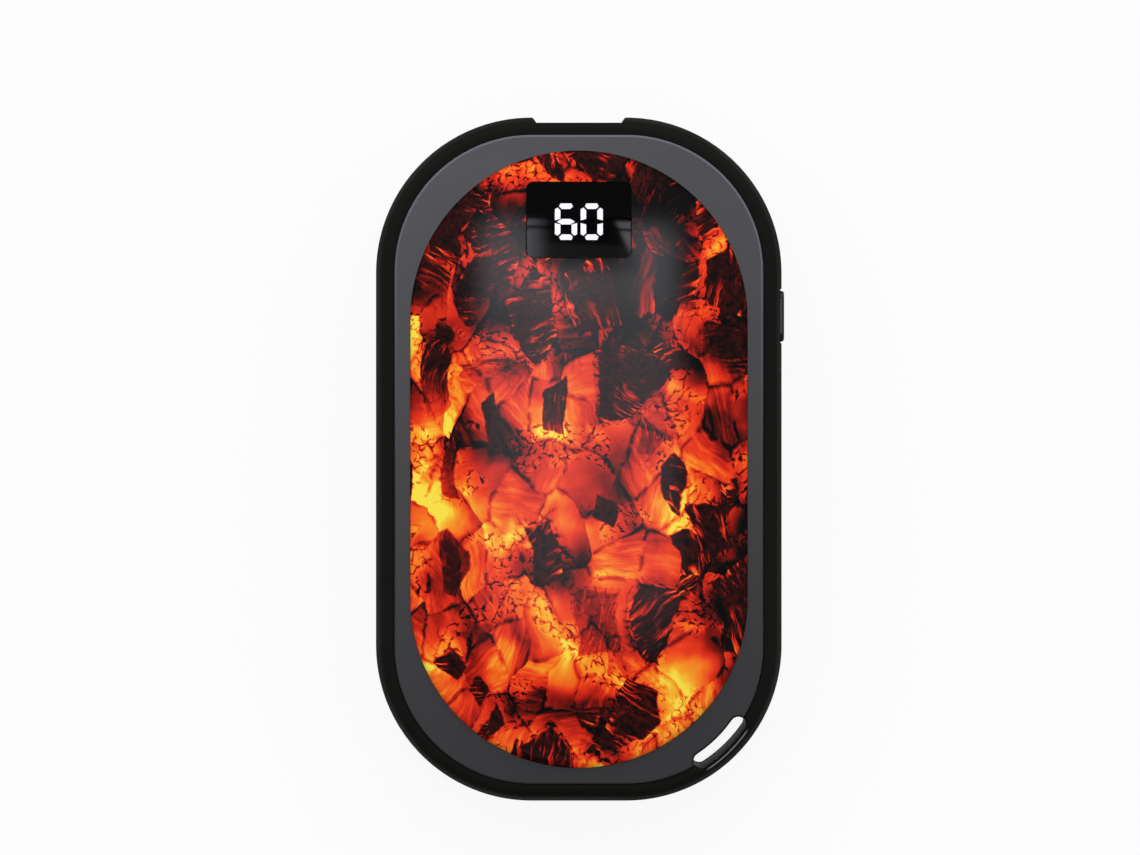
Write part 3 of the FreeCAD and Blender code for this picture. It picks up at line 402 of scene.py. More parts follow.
def ember_print(panel, pattern, finish):
    """Print of cooled crust over glowing lumps, under a clear coat: strong colours below a soft reflection.

    Each point gets a heat, which a ramp turns into colour. It is the sum of shares times weights: broad
    drifts, lumps with a heat of their own that falls across them and a combed grain, and dry ash add to it;
    the cool end, the lumps' seams, the nearness of crust and a net of cracks take from it. Plates of crust
    lie over it. The coat thins out where the panel's edge turns down, past the dome's distance from the
    middle line."""
    # Where each share starts and ends: inside a plate's edge, and for cracks from the edge of a scale
    plate_span = (-0.05 * MM, 0.22 * MM)
    near_span = (-1.5 * MM, 0.3 * MM)
    shade_span = (-2.4 * MM, 1.2 * MM)
    streak_span = (0.1 * MM, 1.3 * MM)
    crack_span = (0.03 * MM, 0.28 * MM)
    chance_soft = 0.07  # how softly a cell turns into a plate
    material, tree = new_material("ember print under clear coat")
    spot = add(tree, "TexCoord").outputs["Object"]
    flat = add(tree, "VectorMath MULTIPLY", spot, (1, 1, 0))
    part = add(tree, "SeparateXYZ", flat).outputs

    def warped(place, size, reach, detail):
        """Place pushed by up to a reach: the colour of a noise, less its middle, times twice the reach."""
        push = add(tree, "TexNoise", {"Vector": place, "Scale": 1 / size, "Detail": detail},
                   noise_dimensions="2D").outputs["Color"]
        swing = add(tree, "VectorMath SUBTRACT", push, (0.5, 0.5, 0.5))
        return add(tree, "VectorMath MULTIPLY_ADD", swing, (2 * reach,) * 3, place)

    def spun(place, share):
        """Place turned by a random share of a full turn."""
        turn = add(tree, "Math MULTIPLY", share, math.tau)
        return add(tree, "VectorRotate", {"Vector": place, "Angle": turn}, rotation_type="Z_AXIS")

    def cells(place, size):
        """Cells of a size: three random shares of each, its centre, and the distance to its edge."""
        inputs = {"Vector": place, "Scale": 1 / size}
        cell = add(tree, "TexVoronoi", inputs, voronoi_dimensions="2D").outputs
        edge = add(tree, "TexVoronoi", inputs, voronoi_dimensions="2D", feature="DISTANCE_TO_EDGE")
        dice = add(tree, "SeparateColor", cell["Color"]).outputs
        return dice, cell["Position"], add(tree, "Math MULTIPLY", edge, size)

    def crust(turn, squeeze, size, gap, more, least):
        """Plates in a share of the cells, more in the cool, drawn in from the cells' edges by up to a gap."""
        place = add(tree, "Mapping", {"Vector": torn, "Rotation": (0, 0, turn), "Scale": (1, squeeze, 1)})
        dice, _, edge = cells(place, size)
        inset = add(tree, "Math MULTIPLY_ADD", dice[1], gap, pattern.least_gap)
        depth = add(tree, "Math SUBTRACT", edge, inset)
        share = add(tree, "Math MULTIPLY_ADD", cool, more, least)
        there = add(tree, SMOOTH, add(tree, "Math SUBTRACT", share, dice[0]), -chance_soft, chance_soft)
        plate = add(tree, "Math MULTIPLY", there, add(tree, SMOOTH, depth, *plate_span))
        return plate, depth, there, dice

    # Places: drifts bend in long folds, lumps and plates have torn edges, and the top right is cool
    fold = warped(flat, pattern.sweep, pattern.sweep_reach, 2.0)
    fold = warped(fold, pattern.fold, pattern.fold_reach, 2.0)
    torn = warped(flat, pattern.sway, pattern.sway_reach, 1.0)
    torn = warped(torn, pattern.tear, pattern.tear_reach, 5.0)
    elsewhere = add(tree, "VectorMath ADD", flat, (0.11, 0.05, 0))
    cool = add(tree, "Math ADD", add(tree, SMOOTH, part["Y"], pattern.cool_low, pattern.cool_high),
               add(tree, SMOOTH, part["X"], pattern.cool_left, pattern.cool_right, 0.0, 0.4))

    # Cells: glowing lumps, each with its own slope, two sizes of plates, and the scales of the crackle
    lumps = add(tree, "VectorMath ADD", torn, (0.07, 0.03, 0))
    lumps = add(tree, "Mapping", {"Vector": lumps, "Rotation": (0, 0, 0.9), "Scale": (1, 0.75, 1)})
    odds, heart, lump_edge = cells(lumps, pattern.lump)
    slope = spun(add(tree, "VectorMath SUBTRACT", lumps, heart), odds[2])
    fall = add(tree, "SeparateXYZ", slope).outputs["X"]
    large, depth, there, dice = crust(0.5, 0.72, pattern.plate, pattern.plate_gap, 0.48, 0.22)
    small = crust(-0.7, 0.6, pattern.chip, pattern.chip_gap, 0.18, 0.17)[0]
    scales = cells(warped(torn, pattern.kink, pattern.kink_reach, 3.0), pattern.crackle)[2]

    # Noises: a name, its place, its turn, its squeeze along the second axis, its size, detail and roughness
    noise = {}
    for name, place, turn, squeeze, size, detail, rough in (
            ("glow", fold, 0.0, 1.0, pattern.drift, 2.0, 0.5),
            ("flow", fold, 0.6, 0.5, pattern.flow, 2.0, 0.45),
            ("seams", torn, 0.0, 1.0, pattern.seam_patch, 2.0, 0.5),
            ("comb", slope, 0.0, 0.14, pattern.comb, 4.0, 0.62),
            ("speck", torn, 0.0, 1.0, pattern.speck, 5.0, 0.66),
            ("dry", elsewhere, 0.0, 1.0, pattern.dry_patch, 2.0, 0.5),
            ("streak", spun(torn, dice[2]), 0.0, 0.13, pattern.grain, 4.0, 0.6),
            ("streaky", torn, 0.0, 1.0, pattern.grain_patch, 2.0, 0.5)):
        turned = add(tree, "Mapping", {"Vector": place, "Rotation": (0, 0, turn), "Scale": (1, squeeze, 1)})
        noise[name] = add(tree, "TexNoise", {"Vector": turned, "Scale": 1 / size, "Detail": detail,
                                             "Roughness": rough}, noise_dimensions="2D")

    # Shares: dark seams along some lumps' edges, combed grain on some lumps, ash that is dry or near a plate
    seam = add(tree, "Math MULTIPLY", add(tree, SMOOTH, lump_edge, 0.0, pattern.seam, 1.0, 0.0),
               add(tree, SMOOTH, noise["seams"], 0.42, 0.58))
    comb = add(tree, "Math MULTIPLY", add(tree, "Math SUBTRACT", noise["comb"], 0.54),
               add(tree, SMOOTH, odds[1], 0.25, 0.8, 0.15, 0.8))
    dry = add(tree, SMOOTH, noise["dry"], 0.52, 0.62)
    near = add(tree, "Math MULTIPLY", there, add(tree, SMOOTH, depth, *near_span))
    shade = add(tree, "Math MULTIPLY", there, add(tree, SMOOTH, depth, *shade_span))
    cracks = add(tree, "Math MULTIPLY", add(tree, SMOOTH, scales, *crack_span, 1.0, 0.0),
                 add(tree, SMOOTH, noise["speck"], 0.44, 0.6))
    cracks = add(tree, "Math MULTIPLY", cracks, add(tree, "Math MAXIMUM", dry, near))

    # Heat: a cold start and the sum of the shares times their weights
    heat = -0.73
    for weight, share in ((1.75, noise["glow"]), (0.5, noise["flow"]), (-0.33, cool), (0.36, odds[0]),
                          (0.36 / pattern.lump, fall), (-0.34, seam), (1.0, comb), (0.14, dry),
                          (-0.16, shade), (-0.6, cracks)):
        heat = add(tree, "Math MULTIPLY_ADD", share, weight, heat)

    # Crust: cold specks, and a grain that glows in places, most of all along a plate's edge
    streak = add(tree, "Math MULTIPLY", add(tree, SMOOTH, noise["streak"], 0.48, 0.68),
                 add(tree, SMOOTH, noise["streaky"], 0.4, 0.6))
    streak = add(tree, "Math MULTIPLY", streak, add(tree, SMOOTH, depth, *streak_span, 0.71, 0.36))
    cold = add(tree, "Math ADD", streak, add(tree, "Math MULTIPLY_ADD", noise["speck"], 0.36, -0.13))
    heat = add(tree, "Mix", {0: add(tree, "Math MAXIMUM", large, small), 2: heat, 3: cold})
    ramp = add(tree, "ValToRGB", heat, stops=[
        (0.0, finish.char), (0.12, finish.soot), (0.25, finish.ash_red), (0.4, finish.deep_red),
        (0.58, finish.glow_red), (0.74, finish.orange), (0.88, finish.amber), (1.0, finish.yellow)])

    coat_full, coat_thin = 0.4, 0.05
    out = far(tree, beyond(tree, part["Y"], panel.half_straight), part["X"])
    dome = panel.radius - panel.edge_round
    coat = add(tree, SMOOTH, out, dome - 0.1 * MM, dome + 0.4 * MM, coat_full, coat_thin)
    add(tree, "OutputMaterial", add(tree, "BsdfPrincipled", {
        "Base Color": ramp, "Roughness": 0.6, "Specular IOR Level": 0.0,
        "Coat Weight": coat, "Coat Roughness": 0.11, "Coat IOR": 1.5}))
    return material


def smoked_acrylic():
    """Smoked acrylic, polished: black until something lit stands behind it, with sharp small reflections."""
    wave_mm, wave_depth_mm = 6.0, 0.0008
    material, tree = new_material("smoked acrylic")
    wave = grain(tree, wave_mm)
    tint = add(tree, "Mix", {0: wave, 6: linear("#1d1d1f"), 7: linear("#1f1f21")},
               data_type="RGBA").outputs[2]
    add(tree, "OutputMaterial", add(tree, "BsdfPrincipled", {
        "Base Color": tint, "Roughness": 0.04, "IOR": 1.32, "Transmission Weight": 1.0,
        "Normal": add(tree, "Bump", {"Height": wave, "Distance": wave_depth_mm * MM})}))
    return material


def lit_diffuser(finish):
    """Milky epoxy over a light-emitting die: an even white with a slightly brighter heart."""
    cloud_mm, dimmest, brightest = 1.4, 78.0, 84.0
    material, tree = new_material("lit white epoxy")
    power = add(tree, "MapRange", {"Value": grain(tree, cloud_mm), "To Min": dimmest, "To Max": brightest})
    add(tree, "OutputMaterial", add(tree, "BsdfPrincipled", {
        "Base Color": finish.digit, "Roughness": 0.5, "Emission Color": finish.digit,
        "Emission Strength": power}))
    return material


def grid_piece(name, points, around=True, poles=(False, False), loop=False):
    """Mesh of a grid of points (rows, columns, 3), outward by the right-hand rule of columns, then rows.

    Columns close on themselves when the grid goes around, rows when it is a loop, and a pole folds the
    first or last row, all of whose points are the same, into one vertex with a fan of triangles."""
    sharp = math.radians(40)
    index = np.arange(points.shape[0] * points.shape[1]).reshape(points.shape[:2])
    if poles[0]:
        index[0] = index[0, 0]
    if poles[1]:
        index[-1] = index[-1, 0]
    if around:
        index = np.concatenate([index, index[:, :1]], axis=1)
    if loop:
        index = np.concatenate([index, index[:1]], axis=0)
    bands = np.stack([index[:-1, :-1], index[:-1, 1:], index[1:, 1:], index[1:, :-1]], axis=-1)
    used, corners = np.unique(bands, return_inverse=True)
    bands = corners.reshape(bands.shape)
    fans = [bands[0][:, [0, 2, 3]] if poles[0] else bands[:0], bands[-1][:, :3] if poles[1] else bands[:0]]
    whole = bands[int(poles[0]):len(bands) - int(poles[1])].reshape(-1, 4)
    mesh = bpy.data.meshes.new(name)
    mesh.from_pydata(points.reshape(-1, 3)[used], [], fans[0].tolist() + whole.tolist() + fans[1].tolist())
    mesh.polygons.foreach_set("use_smooth", np.ones(len(mesh.polygons), bool))
    mesh.set_sharp_from_angle(angle=sharp)
    mesh.update()
    piece = bpy.data.objects.new(name, mesh)
    bpy.context.scene.collection.objects.link(piece)
    return piece


def stadium_reach(angle, start_y, radius, half_straight):
    """Distance from (0, start_y) along a ray to a stadium's outline.

    A ray meets a straight side at radius over the size of its cosine; where that point is past the
    straight, it meets the end circle instead, by the root of the ray's quadratic."""
    across, along = np.cos(angle), np.sin(angle)
    side = radius / np.maximum(np.abs(across), TINY)
    meets = start_y + side * along
    offset = start_y - np.sign(meets) * half_straight
    end = -along * offset + np.sqrt(np.maximum((along * offset) ** 2 - offset**2 + radius**2, 0))
    return np.where(np.abs(meets) <= half_straight, side, end)


def window_reach(angle, half_x, half_y, corner):
    """Distance from a rounded rectangle's centre along a ray to its outline.

    The ray meets a straight side first at the nearer of the two sides; where that is inside a corner's
    square, it meets the corner's circle instead."""
    across, along = np.abs(np.cos(angle)), np.abs(np.sin(angle))
    side = np.minimum(half_x / np.maximum(across, TINY), half_y / np.maximum(along, TINY))
    in_corner = (side * across > half_x - corner) & (side * along > half_y - corner)
    towards = across * (half_x - corner) + along * (half_y - corner)
    square = (half_x - corner) ** 2 + (half_y - corner) ** 2
    bend = towards + np.sqrt(np.maximum(towards**2 - square + corner**2, 0))
    return np.where(in_corner, bend, side)


class PanelShape:
    """Rays from the window's centre, and the dome's height under them."""

    def __init__(self, sizes, columns):
        self.sizes = sizes
        self.angle = np.linspace(0, math.tau, columns, endpoint=False)
        self.ray = np.stack([np.cos(self.angle), np.sin(self.angle)], axis=-1)
        edge = sizes.radius - sizes.edge_round
        above = sizes.rise - sizes.edge_round
        self.dome_radius = (edge**2 + sizes.rise**2 - sizes.edge_round**2) / (2 * above)
        self.tangent = math.atan2(self.dome_radius - sizes.rise, edge)

    def place(self, reach):
        """Points in XY at a reach along each ray."""
        return self.ray * reach[:, None] + np.array([0, self.sizes.window_y])

    def over(self, spot, depth=0.0):
        """Height of the dome over points, lowered by a depth along its radius: an arc across the body."""
        end = np.maximum(np.abs(spot[:, 1]) - self.sizes.half_straight, 0)
        squared = spot[:, 0] ** 2 + end**2
        crown = self.sizes.face + self.sizes.rise
        return crown - self.dome_radius + np.sqrt((self.dome_radius - depth) ** 2 - squared)

    def dome(self, reach, depth=0.0):
        """Height of the dome at a reach along each ray."""
        return self.over(self.place(reach), depth)

    def outline(self, inset):
        """Reach to the panel's outline, drawn in by an inset."""
        sizes = self.sizes
        return stadium_reach(self.angle, sizes.window_y, sizes.radius - inset, sizes.half_straight)

    def window(self, margin):
        """Reach to the window's outline, widened by a margin."""
        sizes = self.sizes
        return window_reach(self.angle, sizes.window_width / 2 + margin, sizes.window_height / 2 + margin,
                            sizes.window_corner + margin)

    def row(self, reach, height):
        """Row of the grid: points at a reach along each ray, at a height."""
        return np.concatenate([self.place(reach), np.broadcast_to(height, reach.shape)[:, None]], axis=1)


class HANDWARMER_OT_front_panel(bpy.types.Operator):
    """Build the domed, printed front panel with its display window"""
    bl_idname = "handwarmer.front_panel"
    bl_label = "Front panel"

    def execute(self, context):
        settings = context.scene.hand_warmer
        sizes = settings.panel
        columns, dome_rows, round_rows, inner_rows = 640, 76, 12, 24
        guard = 0.001  # a row close to the window's edge keeps the shading of the dome flat there
        shape = PanelShape(sizes, columns)
        edge, cut = sizes.edge_round, sizes.window_round
        opening = shape.window(0)
        rows = [shape.row(opening, shape.dome(opening, sizes.thickness) * (1 - t)
                          + (shape.dome(opening) - cut) * t) for t in (0, 0.5, 1)]
        for turn in np.radians([22.5, 45, 67.5]):
            reach = shape.window(cut * (1 - math.cos(turn)))
            rows.append(shape.row(reach, shape.dome(reach) - cut * (1 - math.sin(turn))))
        start = shape.window(cut)
        end = shape.outline(edge * (1 - math.cos(shape.tangent)))
        for share in (0, guard, *np.linspace(0, 1, dome_rows)[1:]):
            reach = start + (end - start) * share
            rows.append(shape.row(reach, shape.dome(reach)))
        for turn in np.linspace(shape.tangent, 0, round_rows)[1:]:
            reach = shape.outline(edge * (1 - math.cos(turn)))
            rows.append(shape.row(reach, sizes.face + edge * math.sin(turn)))
        side = shape.outline(0)
        land = shape.outline(sizes.land)
        rows.append(shape.row(side, sizes.base))
        rows.append(shape.row(land, sizes.base))
        for share in np.linspace(0, 1, inner_rows)[:-1]:
            reach = land + (opening - land) * share
            rows.append(shape.row(reach, shape.dome(reach, sizes.thickness)))
        piece = grid_piece("front_panel_shell", np.array(rows[::-1]), loop=True)
        piece.data.materials.append(ember_print(settings.panel, settings.pattern, settings.finish))
        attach(piece, "case")
        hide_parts("front_panel")
        return {"FINISHED"}


class HANDWARMER_OT_display(bpy.types.Operator):
    """Build the smoked lens and finish the digits behind it"""
    bl_idname = "handwarmer.display"
    bl_label = "Display"

    def execute(self, context):
        settings = context.scene.hand_warmer
        sizes = settings.panel
        columns, face_rows = 320, 16
        shape = PanelShape(sizes, columns)
        gap, cut, deep = sizes.lens_gap, sizes.lens_bevel, sizes.lens_recess
        behind = sizes.thickness + gap / 2
        top = shape.window(-gap - cut)
        rows = [shape.row(top * share, shape.dome(top * share, deep))
                for share in np.linspace(0, 1, face_rows)]
        body, flange = shape.window(-gap), shape.window(sizes.lens_flange)
        rows.append(shape.row(body, shape.dome(body, deep) - cut))
        rows.append(shape.row(body, shape.dome(body, behind)))
        rows.append(shape.row(flange, shape.dome(flange, behind)))
        for share in np.linspace(1, 0, face_rows):
            rows.append(shape.row(flange * share, shape.dome(flange * share, sizes.lens_back)))
        piece = grid_piece("smoked_lens", np.array(rows[::-1]), poles=(True, True))
        piece.data.materials.append(smoked_acrylic())
        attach(piece, "case")
        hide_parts("display_lens")
        dress(lit_diffuser(settings.finish), "lit_segments")
        # The same epoxy, dyed and unlit: so dark that it is lost behind the smoked lens
        dress(moulded("unlit epoxy", linear("#08080a"), 0.2, (0.45, 0.55), 0.3, 0.003), "unlit_segments")
        return {"FINISHED"}


class HANDWARMER_OT_shell(bpy.types.Operator):
    """Finish the rim, the bezels, the lanyard sleeve, the button and the rear plate"""
    bl_idname = "handwarmer.shell"
    bl_label = "Shell"

    def execute(self, context):
        settings = context.scene.hand_warmer
        grit = settings.pattern.grit / MM
        finish = settings.finish
        # Moulded ABS with a fine eroded grit: nearly no colour, and a broad sheen that stays weak at edges; a
        # painted highlight line runs along the slot's outer edge
        dress(moulded("moulded black ABS", tuple(finish.rim), 0.25, (0.55, 0.68), grit, 0.004,
                      marks=[painted_slot_highlight(settings.slot, finish.slot_highlight_colour)], IOR=1.03,
                      **{"Specular Tint": (27, 27, 27, 1)}), "mid_frame")
        # The same ABS, smoothed by the thumb: black with a gleam where it faces the light
        dress(moulded("smooth black ABS", linear("#0a0a0a"), 0.25, (0.18, 0.24), grit, 0.001, IOR=1.03,
                      **{"Specular Tint": (150, 150, 150, 1)}), "power_button")
        # Satin lacquer over ABS: an even grey with a soft reflection, a painted highlight along its outer
        # edge and a painted shade line round the slot
        dress(moulded("satin grey lacquer", tuple(finish.bezel), 0.04, (0.14, 0.17), 0.6 * grit, 0.0002,
                      marks=[painted_edge_highlight(settings.bezel, finish.edge), painted_slot_shade(settings.slot)],
                      **{"Specular IOR Level": 0.28}), "front_bezel", "rear_cover")
        # Soft grey bush: flat, with no reflection of its own
        dress(moulded("matt grey elastomer", tuple(finish.bush), 0.08, (0.5, 0.56), grit, 0.002,
                      IOR=1.11), "lanyard_sleeve")
        # Bead-blasted, anodised aluminium: a metal with a fine even sparkle
        dress(moulded("anodised aluminium", tuple(finish.plate), 0.05, (0.38, 0.46), grit, 0.006, metal=1.0),
              "rear_panel")
        return {"FINISHED"}


class HANDWARMER_OT_inside(bpy.types.Operator):
    """Finish the socket, the switch, the boards, the battery and the heaters"""
    bl_idname = "handwarmer.inside"
    bl_label = "Inside"

    def execute(self, context):
        # Each row: material, colour, spread, roughness, grit and its depth in mm, metallic, and the nodes
        for name, code, spread, rough, grit_mm, depth_mm, metal, nodes in (
                # Nylon moulded with glass in it: a dull black with a fine tooth
                ("moulded black nylon", "#111113", 0.15, (0.45, 0.6), 0.4, 0.006, 0.0,
                 ("switch_base", "switch_plunger", "usb_tongue", "display_module", "display_spacer",
                  "control_chip", "charge_chip", "heater_transistors", "protection_chips")),
                # Stamped steel under zinc: a bright cool metal, slightly clouded
                ("zinc-plated steel", "#b9bcc0", 0.06, (0.28, 0.4), 0.25, 0.003, 1.0,
                 ("case_screws", "board_screws", "usb_shell", "switch_cover", "switch_disc")),
                # Thin plating on copper: a warm yellow gleam
                ("gold plate", "#e0b45a", 0.06, (0.22, 0.34), 0.25, 0.002, 1.0,
                 ("usb_contacts", "display_pins")),
                # Rolled nickel: a warm grey metal with a soft gleam
                ("nickel strip", "#c4c0b6", 0.06, (0.3, 0.42), 0.4, 0.004, 1.0, ("cell_tabs",)),
                # Cured mask over copper and glass cloth: a deep green with a wet look
                ("solder mask", "#0e4a2c", 0.12, (0.3, 0.42), 0.5, 0.006, 0.0,
                 ("main_board", "display_board", "protection_board")),
                # Drawn foil laminate: a soft grey metal, slightly dented
                ("aluminium pouch", "#a9acb1", 0.08, (0.34, 0.5), 1.2, 0.02, 1.0,
                 ("lower_cell", "upper_cell")),
                # Plain moulded nylon: a milky white with a dull sheen
                ("white nylon", "#e4e2da", 0.05, (0.4, 0.52), 0.4, 0.006, 0.0,
                 ("battery_socket", "battery_plug", "front_heater_socket", "rear_heater_socket")),
                # Extruded silicone: a full red with a soft sheen
                ("red silicone sheath", "#a3201b", 0.1, (0.42, 0.55), 0.4, 0.008, 0.0, ("battery_leads",)),
                # Cast film: an amber gloss with a slight ripple
                ("polyimide film", "#b8691c", 0.12, (0.22, 0.34), 1.8, 0.01, 0.0,
                 ("front_heater_film", "rear_heater_film")),
                # Fired ceramic: a tan with a dry surface
                ("sensor ceramic", "#a78a66", 0.12, (0.4, 0.5), 0.3, 0.005, 0.0,
                 ("front_thermistor", "rear_thermistor", "board_capacitors")),
                # Pressed and fired powder: a rough grey that is nearly black
                ("ferrite", "#26262a", 0.2, (0.5, 0.65), 0.35, 0.01, 0.0, ("power_inductor",)),
                # Soft adhesive foam: a dull dark grey
                ("acrylic tape", "#2a2a2c", 0.15, (0.55, 0.7), 0.6, 0.01, 0.0,
                 ("front_panel_tape", "rear_panel_tape", "cell_pad"))):
            dress(moulded(name, linear(code), spread, rough, grit_mm, depth_mm, metal), *nodes)
        return {"FINISHED"}


class HANDWARMER_OT_foam(bpy.types.Operator):
    """Build the two foam pads that press the heater films against the panels"""
    bl_idname = "handwarmer.foam"
    bl_label = "Foam pads"

    def execute(self, context):
        settings = context.scene.hand_warmer
        sizes, panel = settings.foam, settings.panel
        columns, pad_rows = 192, 33
        shape = PanelShape(panel, columns)
        middle = (sizes.low_y + sizes.high_y) / 2
        half = (sizes.high_y - sizes.low_y) / 2
        rim = stadium_reach(shape.angle, middle, sizes.radius, panel.half_straight)
        rim = np.minimum(rim, half / np.maximum(np.abs(shape.ray[:, 1]), TINY))
        # Open-cell foam, cut from a block: a dull dark grey full of pores
        foam = moulded("open-cell foam", linear("#3a3a3c"), 0.18, (0.85, 0.95), 0.7, 0.08)
        for name, node in (("front_foam_pad", "front_foam"), ("rear_foam_pad", "rear_foam")):
            rows = []
            # From the top to the underside: a half turn, whose sine and cosine are swollen towards a box
            for turn in np.linspace(0, math.pi, pad_rows):
                share = math.sin(turn) ** sizes.boxy
                swell = math.cos(turn)
                lift = 0.5 + 0.5 * math.copysign(abs(swell) ** sizes.boxy, swell)
                spot = shape.ray * (rim * share)[:, None] + np.array([0, middle])
                low, high = sizes.rear_low, sizes.rear_high
                if node == "front_foam":
                    low, high = sizes.front_low, shape.over(spot, sizes.film_depth) - sizes.clearance
                height = np.broadcast_to(low + (high - low) * lift, rim.shape)
                rows.append(np.concatenate([spot, height[:, None]], axis=1))
            piece = grid_piece(name, np.array(rows[::-1]), poles=(True, True))
            piece.data.materials.append(foam)
            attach(piece, "case")
            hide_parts(node)
        return {"FINISHED"}


class HANDWARMER_OT_stage(bpy.types.Operator):
    """Set the floor, the studio light, the camera and the view"""
    bl_idname = "handwarmer.stage"
    bl_label = "Stage"

    def floor(self, stage, finish):
        """Disc of pale matt paper, which is nearly plain white to the camera and in reflections."""
        columns, inner_ring, paper_mm = 64, 0.2, 3.0
        turn = np.linspace(0, math.tau, columns, endpoint=False)
        rings = np.array([0, inner_ring, 1.0]) * stage.floor_radius
        points = np.zeros((len(rings), columns, 3))
        points[..., 0] = rings[:, None] * np.cos(turn)
        points[..., 1] = rings[:, None] * np.sin(turn)
        points[..., 2] = -stage.floor_drop
        floor = grid_piece("floor", points[::-1], poles=(False, True))
        # Matt paper: a soft white with a faint mottle, which keeps the object's shadow
        material, tree = new_material("pale studio paper")
        tone = add(tree, "Mix", {0: grain(tree, paper_mm), 6: finish.floor, 7: linear("#f9f9f8")},
                   data_type="RGBA").outputs[2]
        path = add(tree, "LightPath").outputs
        seen = add(tree, "Math MAXIMUM", path["Is Camera Ray"], path["Is Glossy Ray"])
        seen = add(tree, "Math MAXIMUM", seen, path["Is Transmission Ray"])
        share = add(tree, "Math MULTIPLY", seen, stage.floor_white)
        white = add(tree, "Emission", {"Strength": 1.0})
        add(tree, "OutputMaterial", add(tree, "MixShader", share, add(tree, "BsdfDiffuse", tone), white))
        floor.data.materials.append(material)

    def studio(self, stage):
        """World: white all round, dark overhead past the softbox, and brighter towards the body's top end."""
        world = bpy.data.worlds.new("studio dome")
        world.use_nodes = True
        tree = world.node_tree
        tree.nodes.clear()
        part = add(tree, "SeparateXYZ", add(tree, "TexCoord").outputs["Generated"]).outputs
        dome = add(tree, "ValToRGB", part["Z"], stops=[
            (0.0, (0.95, 0.95, 0.95, 1)), (0.2, (1.0, 1.0, 1.0, 1)), (0.86, (1.0, 1.0, 1.0, 1)),
            (0.945, (0.13, 0.13, 0.14, 1))])
        strength = add(tree, "Math MULTIPLY_ADD", part["Y"], stage.dome_slant, 1.0)
        add(tree, "OutputWorld", add(tree, "Background", dome, strength))
        return world

    def softbox(self, stage):
        """Overhead softbox: a lit cloth that brightens towards one end, with a seam and a flag before it."""
        half_x, half_y, high = stage.box_width / 2, stage.box_length / 2, stage.box_height
        corners = np.array([[(-half_x, half_y, high), (half_x, half_y, high)],
                            [(-half_x, -half_y, high), (half_x, -half_y, high)]])
        box = grid_piece("overhead softbox", corners, around=False)
        # White cloth with lamps behind it: a cool even glow that dies away at the sides
        material, tree = new_material("softbox cloth")
        spot = add(tree, "SeparateXYZ", add(tree, "TexCoord").outputs["Object"]).outputs
        across, along = spot["X"], spot["Y"]
        side = add(tree, "Math ABSOLUTE", across)
        tilted = add(tree, "Math MULTIPLY_ADD", across, stage.tilt, along)
        lean = add(tree, SMOOTH, side, stage.lean_inner, stage.lean_outer, stage.lean, 0.0)
        level = add(tree, "Math MULTIPLY_ADD", across, lean, 1.0)
        for fade in (
                add(tree, SMOOTH, along, stage.dim_y, stage.bright_y, stage.box_dim, stage.box_bright),
                add(tree, SMOOTH, along, stage.foot_dark, stage.foot_lit),
                add(tree, SMOOTH, side, stage.side_lit, stage.side_dark, 1.0, 0.0),
                add(tree, SMOOTH, tilted, stage.box_end - stage.end_soft, stage.box_end + stage.end_soft,
                    1.0, 0.0)):
            level = add(tree, "Math MULTIPLY", level, fade)
        left = add(tree, SMOOTH, across, stage.flag_left - stage.left_soft, stage.flag_left + stage.left_soft)
        slanted = add(tree, "Math MULTIPLY_ADD", add(tree, "Math SUBTRACT", along, stage.box_end),
                      stage.right_slant, across)
        right = add(tree, SMOOTH, slanted, stage.flag_right - stage.right_soft,
                    stage.flag_right + stage.right_soft, 1.0, 0.0)
        shadow = add(tree, SMOOTH, along, stage.flag_y - stage.flag_far, stage.flag_y - stage.flag_near,
                     0.0, stage.flag_shadow)
        step = add(tree, SMOOTH, tilted, stage.flag_y - stage.flag_step, stage.flag_y + stage.flag_step,
                   0.0, stage.flag_share)
        flag = add(tree, "Math MULTIPLY", add(tree, "Math MINIMUM", left, right),
                   add(tree, "Math ADD", shadow, step))
        seam = add(tree, "Math COMPARE", tilted, stage.seam_y, stage.seam_width / 2)
        open_share = add(tree, "Math SUBTRACT", 1.0, add(tree, "Math MAXIMUM", flag, seam))
        power = add(tree, "Math MULTIPLY", level, open_share)
        add(tree, "OutputMaterial", add(tree, "Emission", linear("#f4f5ff"), power))
        box.data.materials.append(material)

    def execute(self, context):
        scene = context.scene
        stage = scene.hand_warmer.stage
        self.floor(stage, scene.hand_warmer.finish)
        scene.world = self.studio(stage)
        self.softbox(stage)
        view = bpy.data.cameras.new("camera")
        view.lens = stage.focal
        view.sensor_width = 36
        view.clip_start, view.clip_end = 0.01, 20
        camera = bpy.data.objects.new("camera", view)
        camera.location = (stage.camera_x, stage.camera_y, stage.camera_z)
        scene.collection.objects.link(camera)
        scene.camera = camera
        scene.view_settings.view_transform = "Standard"
        return {"FINISHED"}


PIECES = (HANDWARMER_OT_front_panel, HANDWARMER_OT_display, HANDWARMER_OT_shell,
          HANDWARMER_OT_inside, HANDWARMER_OT_foam, HANDWARMER_OT_stage)


class VIEW3D_PT_hand_warmer(bpy.types.Panel):
    """Steps that finish the hand warmer"""
    bl_idname = "VIEW3D_PT_hand_warmer"
    bl_label = "Hand warmer"
    bl_space_type = "VIEW_3D"
    bl_region_type = "UI"
    bl_category = "Hand warmer"

    def draw(self, context):
        for step in PIECES:
            self.layout.operator(step.bl_idname)


CLASSES = (PanelSizes, FoamSizes, SlotSizes, BezelSizes, PatternSizes, Finishes, StageSizes, HandWarmer,
           *PIECES, VIEW3D_PT_hand_warmer)


def register():
    for cls in CLASSES:
        bpy.utils.register_class(cls)
    bpy.types.Scene.hand_warmer = bpy.props.PointerProperty(type=HandWarmer)


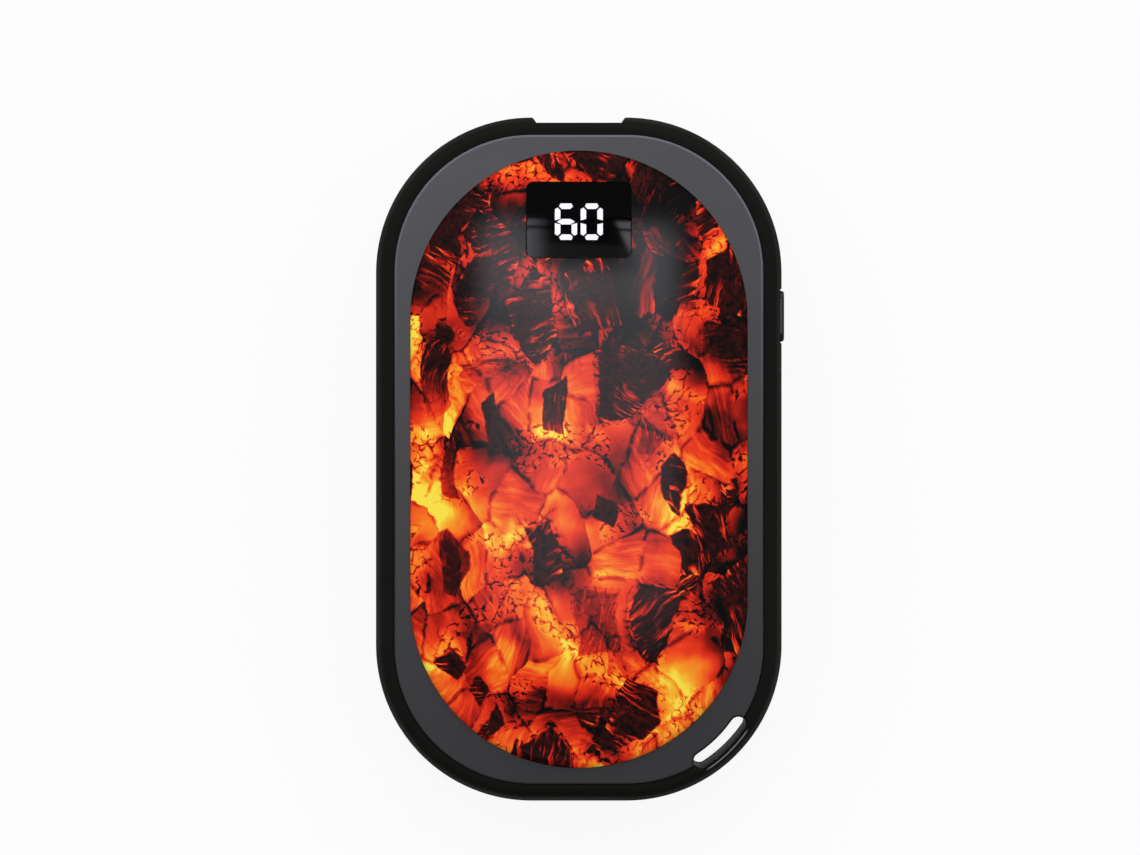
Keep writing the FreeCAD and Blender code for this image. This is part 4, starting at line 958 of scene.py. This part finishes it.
def unregister():
    del bpy.types.Scene.hand_warmer
    for cls in reversed(CLASSES):
        bpy.utils.unregister_class(cls)


def main():
    register()
    for step in PIECES:
        group, name = step.bl_idname.split(".")
        getattr(getattr(bpy.ops, group), name)()


if __name__ == "__main__":
    main()
